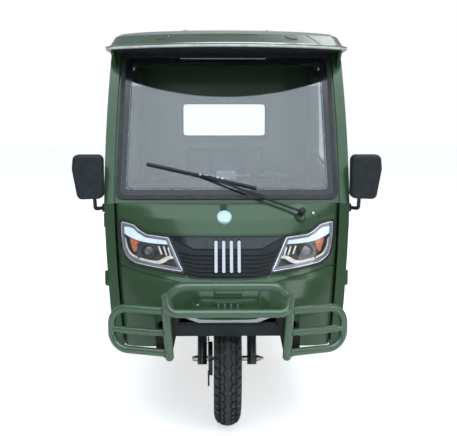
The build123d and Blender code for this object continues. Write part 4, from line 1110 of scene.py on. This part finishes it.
finished("lamp_projector_lenses", lenses, dark_glass)

gaskets = bmesh.new()
for side in (-1, 1):
    edge_line = eased(lamp_inset(-0.0005, 0.0), True)
    bent_rod(gaskets, [on_nose(side * x, z, 0.001) for x, z, half in edge_line], 0.0036, loop=True)
finished("lamp_gaskets", gaskets, seal_rubber)

# ---- Grille ----
# Gloss-black moulding between the lamps: a smooth band over fine slats, with four upright bright
# bars clipped into slots. A pale moulding edges the nose above the wheel.
gloss_black = new_finish(
    "gloss_black", (0.008, 0.012, 0.015), 0.1, Specular_IOR_Level=0.45,
    shades=((15, 4), (0.006, 0.009, 0.012), (0.012, 0.016, 0.02)), bumps=[((160, 1), 0.00012, 0.3)],
)


def apart(tree):
    """How far a point is from the middle plane, and how high, in the piece's own coordinates."""
    parts = wire(tree, "SeparateXYZ", {0: wire(tree, "TexCoord").outputs["Object"]}).outputs
    return wire(tree, "Math", {0: parts["X"]}, "ABSOLUTE").outputs[0], parts["Z"]


# The band stays glossy and the slats below its slanting edge are satin.
tree = gloss_black.node_tree
across, height = apart(tree)
limits = {"From Min": 0.142, "From Max": 0.232, "To Min": 0.806, "To Max": 0.848}
edge_z = wire(tree, "MapRange", {"Value": across, **limits})
below = wire(tree, "Math", {0: height, 1: edge_z.outputs[0]}, "LESS_THAN")
roughness_by(gloss_black, below.outputs[0], 0.1, 0.62, 0.0, 1.0)
dress(gloss_black, "grille")
bar_metal = new_finish("bar_metal", (0.34, 0.35, 0.37), 0.2, 1.0, rough=((80, 3, (1, 1, 0.1)), 0.15, 0.28))
dress(bar_metal, "grille_bars")
white_trim = new_finish(
    "pale_trim", (0.62, 0.64, 0.64), 0.3, Coat_Weight=0.3,
    shades=((20, 4), (0.55, 0.57, 0.57), (0.7, 0.71, 0.71)), bumps=[((260, 1), 0.0002)],
)
dress(white_trim, "nose_trim")

# ---- Front guard ----
# Bent steel tube in the green body paint: a hoop with a lower bar ahead of the nose, and a double loop
# at each side. Beads of weld ring the joints with the hoop. The tubes' finish is lighter than the
# body's, a painted highlight for the light they catch.
# A lighter copy of the body paint: painted highlight for the light the tubes catch.
lit_guard_paint = new_finish(
    "guard_gloss_lit", (0.04, 0.084, 0.044), 0.2, Coat_Weight=1.0, Coat_Roughness=0.06, Coat_IOR=1.5,
    shades=((16, 3), (0.041, 0.09, 0.042), (0.047, 0.1, 0.048)), bumps=[((160, 1), 0.0003, 0.35)],
)
dress(lit_guard_paint, "front_guard", "side_guards")


def weld(build, place, heading, radius, bead=0.0035):
    """Adds a lumpy bead of weld round a tube's end, square to its heading."""
    turn = facing_turn(heading).to_3x3()
    points = []
    for step in range(24):
        angle = 2 * pi * step / 24
        reach = radius + 0.0007 * sin(step * 2.1)
        points.append(Vector(place) + turn @ Vector((cos(angle) * reach, sin(angle) * reach, 0)))
    bent_rod(build, points, bead, sides=2, loop=True, taper=[0.85 + 0.3 * (step % 2) for step in range(24)])


welds = bmesh.new()
for side in (-1, 1):
    run = Vector((-side * 0.028, -0.0705, -0.055)).normalized()
    weld(welds, at(side * 0.247, -0.35, 0.652) + run * 0.02, run, 0.0172)
    for z in (0.419, 0.5, 0.59):
        x = 0.234 + (z - 0.386) / 0.302 * 0.016
        run = Vector((side * (0.471 - x), 0.078, 0)).normalized()
        weld(welds, at(side * x, -0.35, z) + run * 0.0165, run, 0.0158 if z != 0.5 else 0.0138)
finished("guard_welds", welds, lit_guard_paint)

# ---- Mirrors ----
# Matt black moulded shells on bent steel stems, one at each side of the windscreen. Silvered glass
# in a black rim faces the driver.
dress(black_plastic, "mirrors")
silvered = new_finish("silvered_glass", (0.8, 0.84, 0.86), 0.02, 1.0, rough=((6, 4), 0.01, 0.05))
mirror_glass = bmesh.new()
mirror_rim = bmesh.new()
head_line = [(0.534, 1.023), (0.534, 1.184), (0.635, 1.184), (0.64, 1.138), (0.62, 1.019)]
for side in (-1, 1):
    outline = rounded(head_line, 0.02)
    verts = [mirror_glass.verts.new(at(side * x, -0.0492, z)) for x, z in outline]
    extruded(mirror_glass, [mirror_glass.faces.new(verts)], (0, 0.0016, 0))
    bent_rod(mirror_rim, [at(side * x, -0.0488, z) for x, z in outline], 0.003, loop=True)
bmesh.ops.recalc_face_normals(mirror_glass, faces=mirror_glass.faces)
finished("mirror_glass", mirror_glass, silvered)
finished("mirror_rims", mirror_rim, black_plastic)

# ---- Wiper and washer ----
# One black wiper arm on a painted boss, its pivot under a cap, with a link rod and four pale clips
# beside the arm. The washer nozzle is moulded black plastic.
dress(black_plastic, "wiper")
boss = bmesh.new()
boss_rings = [(0, 0), (0, 0.024), (0.5, 0.0225), (0.85, 0.017), (1, 0.013), (1, 0)]
stud(boss, 0.312, 0.928, 0.012, 0.016, boss_rings, 32)
finished("wiper_boss", boss, body_paint)
wiper_rods = bmesh.new()
link = ((-0.078, 0.114, 0.027), (0.03, 0.062, 0.034), (0.158, 0.022, 0.04))
bent_rod(wiper_rods, [on_screen(*place) for place in link], 0.0032)
turned(
    wiper_rods, on_screen(0.317, -0.05, 0.048), on_screen(0.317, -0.05, 0.068),
    [(0, 0), (0, 0.0155), (0.6, 0.0155), (0.9, 0.0125), (1, 0.008), (1, 0)],
)
finished("wiper_link", wiper_rods, black_plastic)
rivets = bmesh.new()
for x, up in ((-0.115, 0.121), (-0.09, 0.117), (-0.04, 0.108), (-0.02, 0.104)):
    turned(
        rivets, on_screen(x, up, 0.018), on_screen(x, up, 0.026), [(0, 0), (0, 0.004), (1, 0.004), (1, 0)], 12
    )
finished("wiper_clips", rivets, white_trim)

# ---- Dashboard ----
# Moulded black plastic shelf with a small instrument pod. The display is a plain dark screen, with
# two round knobs on each side of it.
dress(black_plastic, "dashboard")
screen = bmesh.new()
block(screen, at(-0.085, 0.1325, 1.02), at(0.085, 0.139, 1.058), 0.003)
for vert in screen.verts:
    vert.co.y -= (vert.co.z - 1.02) * 0.25
finished("instrument_screen", screen, dark_glass)
knobs = bmesh.new()
for x in (-0.2, -0.15, 0.15, 0.2):
    turned(
        knobs, at(x, 0.168, 0.985), at(x, 0.19, 0.993),
        [(0, 0), (0, 0.015), (0.3, 0.0155), (0.35, 0.012), (0.9, 0.011), (1, 0.009), (1, 0)], sides=20,
    )
finished("dash_knobs", knobs, black_plastic)

# ---- Seat, seat box and battery ----
# Black grained vinyl over foam on a painted steel box: a wide cushion with two sewn channels and
# piping round its top, and a backrest of the same make. The battery pack sits inside the box.
dress(chassis_black, "seat_base")
battery_case = new_finish(
    "battery_case", (0.03, 0.032, 0.036), 0.6,
    shades=((20, 4), (0.022, 0.024, 0.028), (0.045, 0.048, 0.052)), bumps=[((350, 2), 0.0005)],
)
dress(battery_case, "battery")

vinyl = new_finish(
    "seat_vinyl", (0.03, 0.032, 0.036), 0.42,
    shades=((12, 5), (0.024, 0.026, 0.03), (0.045, 0.048, 0.053)), rough=((25, 3), 0.34, 0.52),
)
tree = vinyl.node_tree
pebbles = wire(tree, "TexVoronoi", {"Vector": wire(tree, "TexCoord").outputs["Object"], "Scale": 420})
relief(vinyl, pebbles.outputs["Distance"], 0.0006, 0.7)
relief(vinyl, grain(vinyl, 30, 4), 0.0012, 0.3)
thread = new_finish(
    "seam_thread", (0.09, 0.095, 0.1), 0.7, shades=((300, 2), (0.07, 0.075, 0.08), (0.13, 0.135, 0.14)),
    bumps=[((900, 2), 0.0004)],
)


def worked_mesh(pad):
    """The pad's mesh as its modifiers leave it, which are then cleared."""
    pad.data = bpy.data.meshes.new_from_object(pad.evaluated_get(bpy.context.evaluated_depsgraph_get()))
    pad.modifiers.clear()


def seat_pad(name, node, thin, face, cap, channel, channel_depth, edge_depth):
    """A vinyl pad in place of its node: a block puffed up by cloth pressure, then sewn and smoothed.

    thin is the axis through the pad and face the way its sewn side looks along it. cap is how far
    the pressure may move it, and the channels run at that distance each side of its middle.
    """
    low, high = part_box(node)
    build = bmesh.new()
    inset = Vector((0.006, 0.006, 0.006))
    inset[thin] = 0.01
    block(build, low + inset, high - inset, 0.018, 3)
    mesh = bpy.data.meshes.new(name)
    build.to_mesh(mesh)
    build.free()
    pad = bpy.data.objects.new(name, mesh)
    scene.collection.objects.link(pad)
    remesh = pad.modifiers.new("remesh", "REMESH")
    remesh.mode = "VOXEL"
    remesh.voxel_size = 0.006
    worked_mesh(pad)
    before = [v.co.copy() for v in pad.data.vertices]
    cloth = pad.modifiers.new("cloth", "CLOTH")
    cloth.settings.use_pressure = True
    cloth.settings.uniform_pressure_force = 4
    cloth.settings.effector_weights.gravity = 0
    cloth.settings.tension_stiffness = 8
    cloth.settings.quality = 6
    cloth.collision_settings.use_collision = False
    for step in range(1, 21):
        scene.frame_set(step)
    worked_mesh(pad)
    for vert, start in zip(pad.data.vertices, before):
        move = vert.co - start
        if move.length > cap:
            vert.co = start + move.normalized() * cap
    scene.frame_set(1)
    finer = pad.modifiers.new("finer", "SUBSURF")
    finer.levels = 1
    worked_mesh(pad)
    worked = bmesh.new()
    worked.from_mesh(pad.data)
    middle = (low + high) / 2
    long = 3 - thin
    spare = 0.004
    channel_half, edge_half, edge_in = 0.016, 0.012, 0.04
    for vert in worked.verts:
        place = vert.co
        for axis in range(3):
            place[axis] = min(max(place[axis], low[axis] - spare), high[axis] + spare)
        if (place[thin] - middle[thin]) * face > 0:
            for line in (-channel, channel):
                place[thin] -= face * channel_depth * max(0.0, 1 - abs(place.x - line) / channel_half)
            edge = min(place[long] - low[long], high[long] - place[long], place.x - low.x, high.x - place.x)
            place[thin] -= face * edge_depth * max(0.0, 1 - abs(edge - edge_in) / edge_half)
        place[thin] = max(place[thin], low[thin]) if face > 0 else min(place[thin], high[thin])
    bmesh.ops.smooth_vert(
        worked, verts=worked.verts, factor=0.5, use_axis_x=True, use_axis_y=True, use_axis_z=True
    )
    worked.to_mesh(pad.data)
    worked.free()
    pad.data.materials.clear()
    pad.data.materials.append(vinyl)
    pad.data.shade_smooth()
    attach(pad, "vehicle_body")
    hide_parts(node)
    return pad


pad = seat_pad("seat_cushion_pad", "seat_cushion", 2, 1, 0.022, 0.085, 0.009, 0.006)
seat_pad("seat_backrest_pad", "seat_backrest", 1, -1, 0.016, 0.08, 0.008, 0.005)

low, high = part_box("seat_cushion")
seams = bmesh.new()
corners = rounded([(low.x, low.y), (high.x, low.y), (high.x, high.y), (low.x, high.y)], 0.03)
seam_line = [Vector((x, y, high.z)) for x, y in spaced(corners, 0.03)]
bent_rod(seams, [pad.closest_point_on_mesh(point)[1] for point in seam_line], 0.003, loop=True)
finished("seat_piping", seams, thread)

# ---- Cargo bed and gates ----
# Welded steel bed in body paint with eleven pressed ribs in its floor, a black strip along each
# lower edge and three drop gates. Each gate hangs on pins along its foot and has a latch at its
# upper corners. The side gates have rope hooks.
bed_paint = new_finish(
    "green_bed", (0.029, 0.062, 0.026), 0.36, Coat_Weight=0.2, Coat_Roughness=0.1, Specular_IOR_Level=0.4,
    Specular_Tint=(0.75, 0.95, 0.78, 1), shades=((8, 5), (0.025, 0.054, 0.023), (0.033, 0.067, 0.03)),
    rough=((10, 3), 0.32, 0.44), bumps=[((240, 1), 0.0003, 0.4)],
)
dress(bed_paint, "cargo_bed")
floor_ribs = bmesh.new()
rib_pitch = 0.084
for rib in range(-5, 6):
    x = rib * rib_pitch
    block(floor_ribs, at(x - 0.017, 1.215, 0.6285), at(x + 0.017, 2.645, 0.634), 0.0035, 3)
finished("bed_floor_ribs", floor_ribs, bed_paint)
dress(body_paint, "side_gate_left", "side_gate_right", "tailgate")

drip_strips = bmesh.new()
for side in (-1, 1):
    block(drip_strips, at(side * 0.488, 1.2, 0.606), at(side * 0.518, 2.655, 0.61))
finished("bed_edge_strips", drip_strips, chassis_black)


def latch(build, place, along, out):
    """Adds a gate latch: a plate on the face, with a handle that runs along it and turns down."""
    half = along * 0.028 + Vector((0, 0, 0.02))
    block(build, place - out * 0.001 - half, place + out * 0.006 + half, 0.002)
    bend = place + out * 0.009 + along * 0.02
    bent_rod(build, [bend - along * 0.05, bend, bend - Vector((0, 0, 0.038))], 0.0042)


latch_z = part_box("side_gate_left")[1].z - 0.05
gate_face = 0.528
# A rope hook's rod: (proud of the gate's face, along it, height).
hook_line = (
    (0, -0.02, 0.68), (0.012, -0.02, 0.677), (0.014, 0, 0.664), (0.012, 0.02, 0.677), (0, 0.02, 0.68),
)
for side, name in named_sides:
    low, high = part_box(f"side_gate_{name}")
    face_x = side * gate_face
    hooks = bmesh.new()
    latches = bmesh.new()
    for share in (0.12, 0.37, 0.63, 0.88):
        y = low.y + share * (high.y - low.y)
        bent_rod(
            hooks, [Vector((face_x + side * out, y + along, z)) for out, along, z in hook_line], 0.0035,
            smooth=True,
        )
    for y, way in ((low.y + 0.035, 1), (high.y - 0.035, -1)):
        latch(latches, Vector((face_x, y, latch_z)), Vector((0, way, 0)), Vector((side, 0, 0)))
    finished(f"rope_hooks_{name}", hooks, chassis_black, f"side_gate_{name}")
    finished(f"gate_latches_{name}", latches, zinc, f"side_gate_{name}")

tail_latches = bmesh.new()
for side in (-1, 1):
    latch(tail_latches, at(side * 0.455, 2.697, latch_z), Vector((-side, 0, 0)), Vector((0, 1, 0)))
finished("tailgate_latches", tail_latches, zinc, "tailgate")

# ---- Mudguards and tail lamps ----
# Black moulded mudguards over the rear wheels. Each tail lamp is one lens in red, amber and clear
# parts, with fine upright flutes and a black rim.
dress(black_plastic, "rear_mudguards")
tail_red = new_finish("tail_lens", (0.42, 0.012, 0.012), 0.16, Coat_Weight=0.6)
across = apart(tail_red.node_tree)[0]
lens_ramp = colour_by(tail_red, across, (0.55, 0.56, 0.56), (0.42, 0.012, 0.012), 0.372, 0.373)
lens_ramp.color_ramp.interpolation = "CONSTANT"
third = lens_ramp.color_ramp.elements.new(0.435)
third.color = (0.5, 0.12, 0.015, 1)
relief(tail_red, grain(tail_red, 160, 2), 0.0003)
dress(tail_red, "tail_lamps")
rims = bmesh.new()
flutes = bmesh.new()
lamp_low, lamp_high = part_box("tail_lamps")
lamp_in, lamp_out = 0.3475, 0.4675
corners = [(lamp_in, lamp_low.z), (lamp_out, lamp_low.z), (lamp_out, lamp_high.z), (lamp_in, lamp_high.z)]
outline = rounded(corners, 0.004, 2)
y = lamp_high.y - 0.002
for side in (-1, 1):
    bent_rod(rims, [Vector((side * x, y, z)) for x, z in outline], 0.0028, loop=True)
    for step in range(1, 20):
        x = side * (lamp_in + (lamp_out - lamp_in) * step / 20)
        ends = lamp_low.z + 0.003, lamp_high.z - 0.003
        bent_rod(flutes, [Vector((x, y + 0.0004, z)) for z in ends], 0.0026)
finished("tail_lamp_flutes", flutes, tail_red)
finished("tail_lamp_rims", rims, black_plastic)
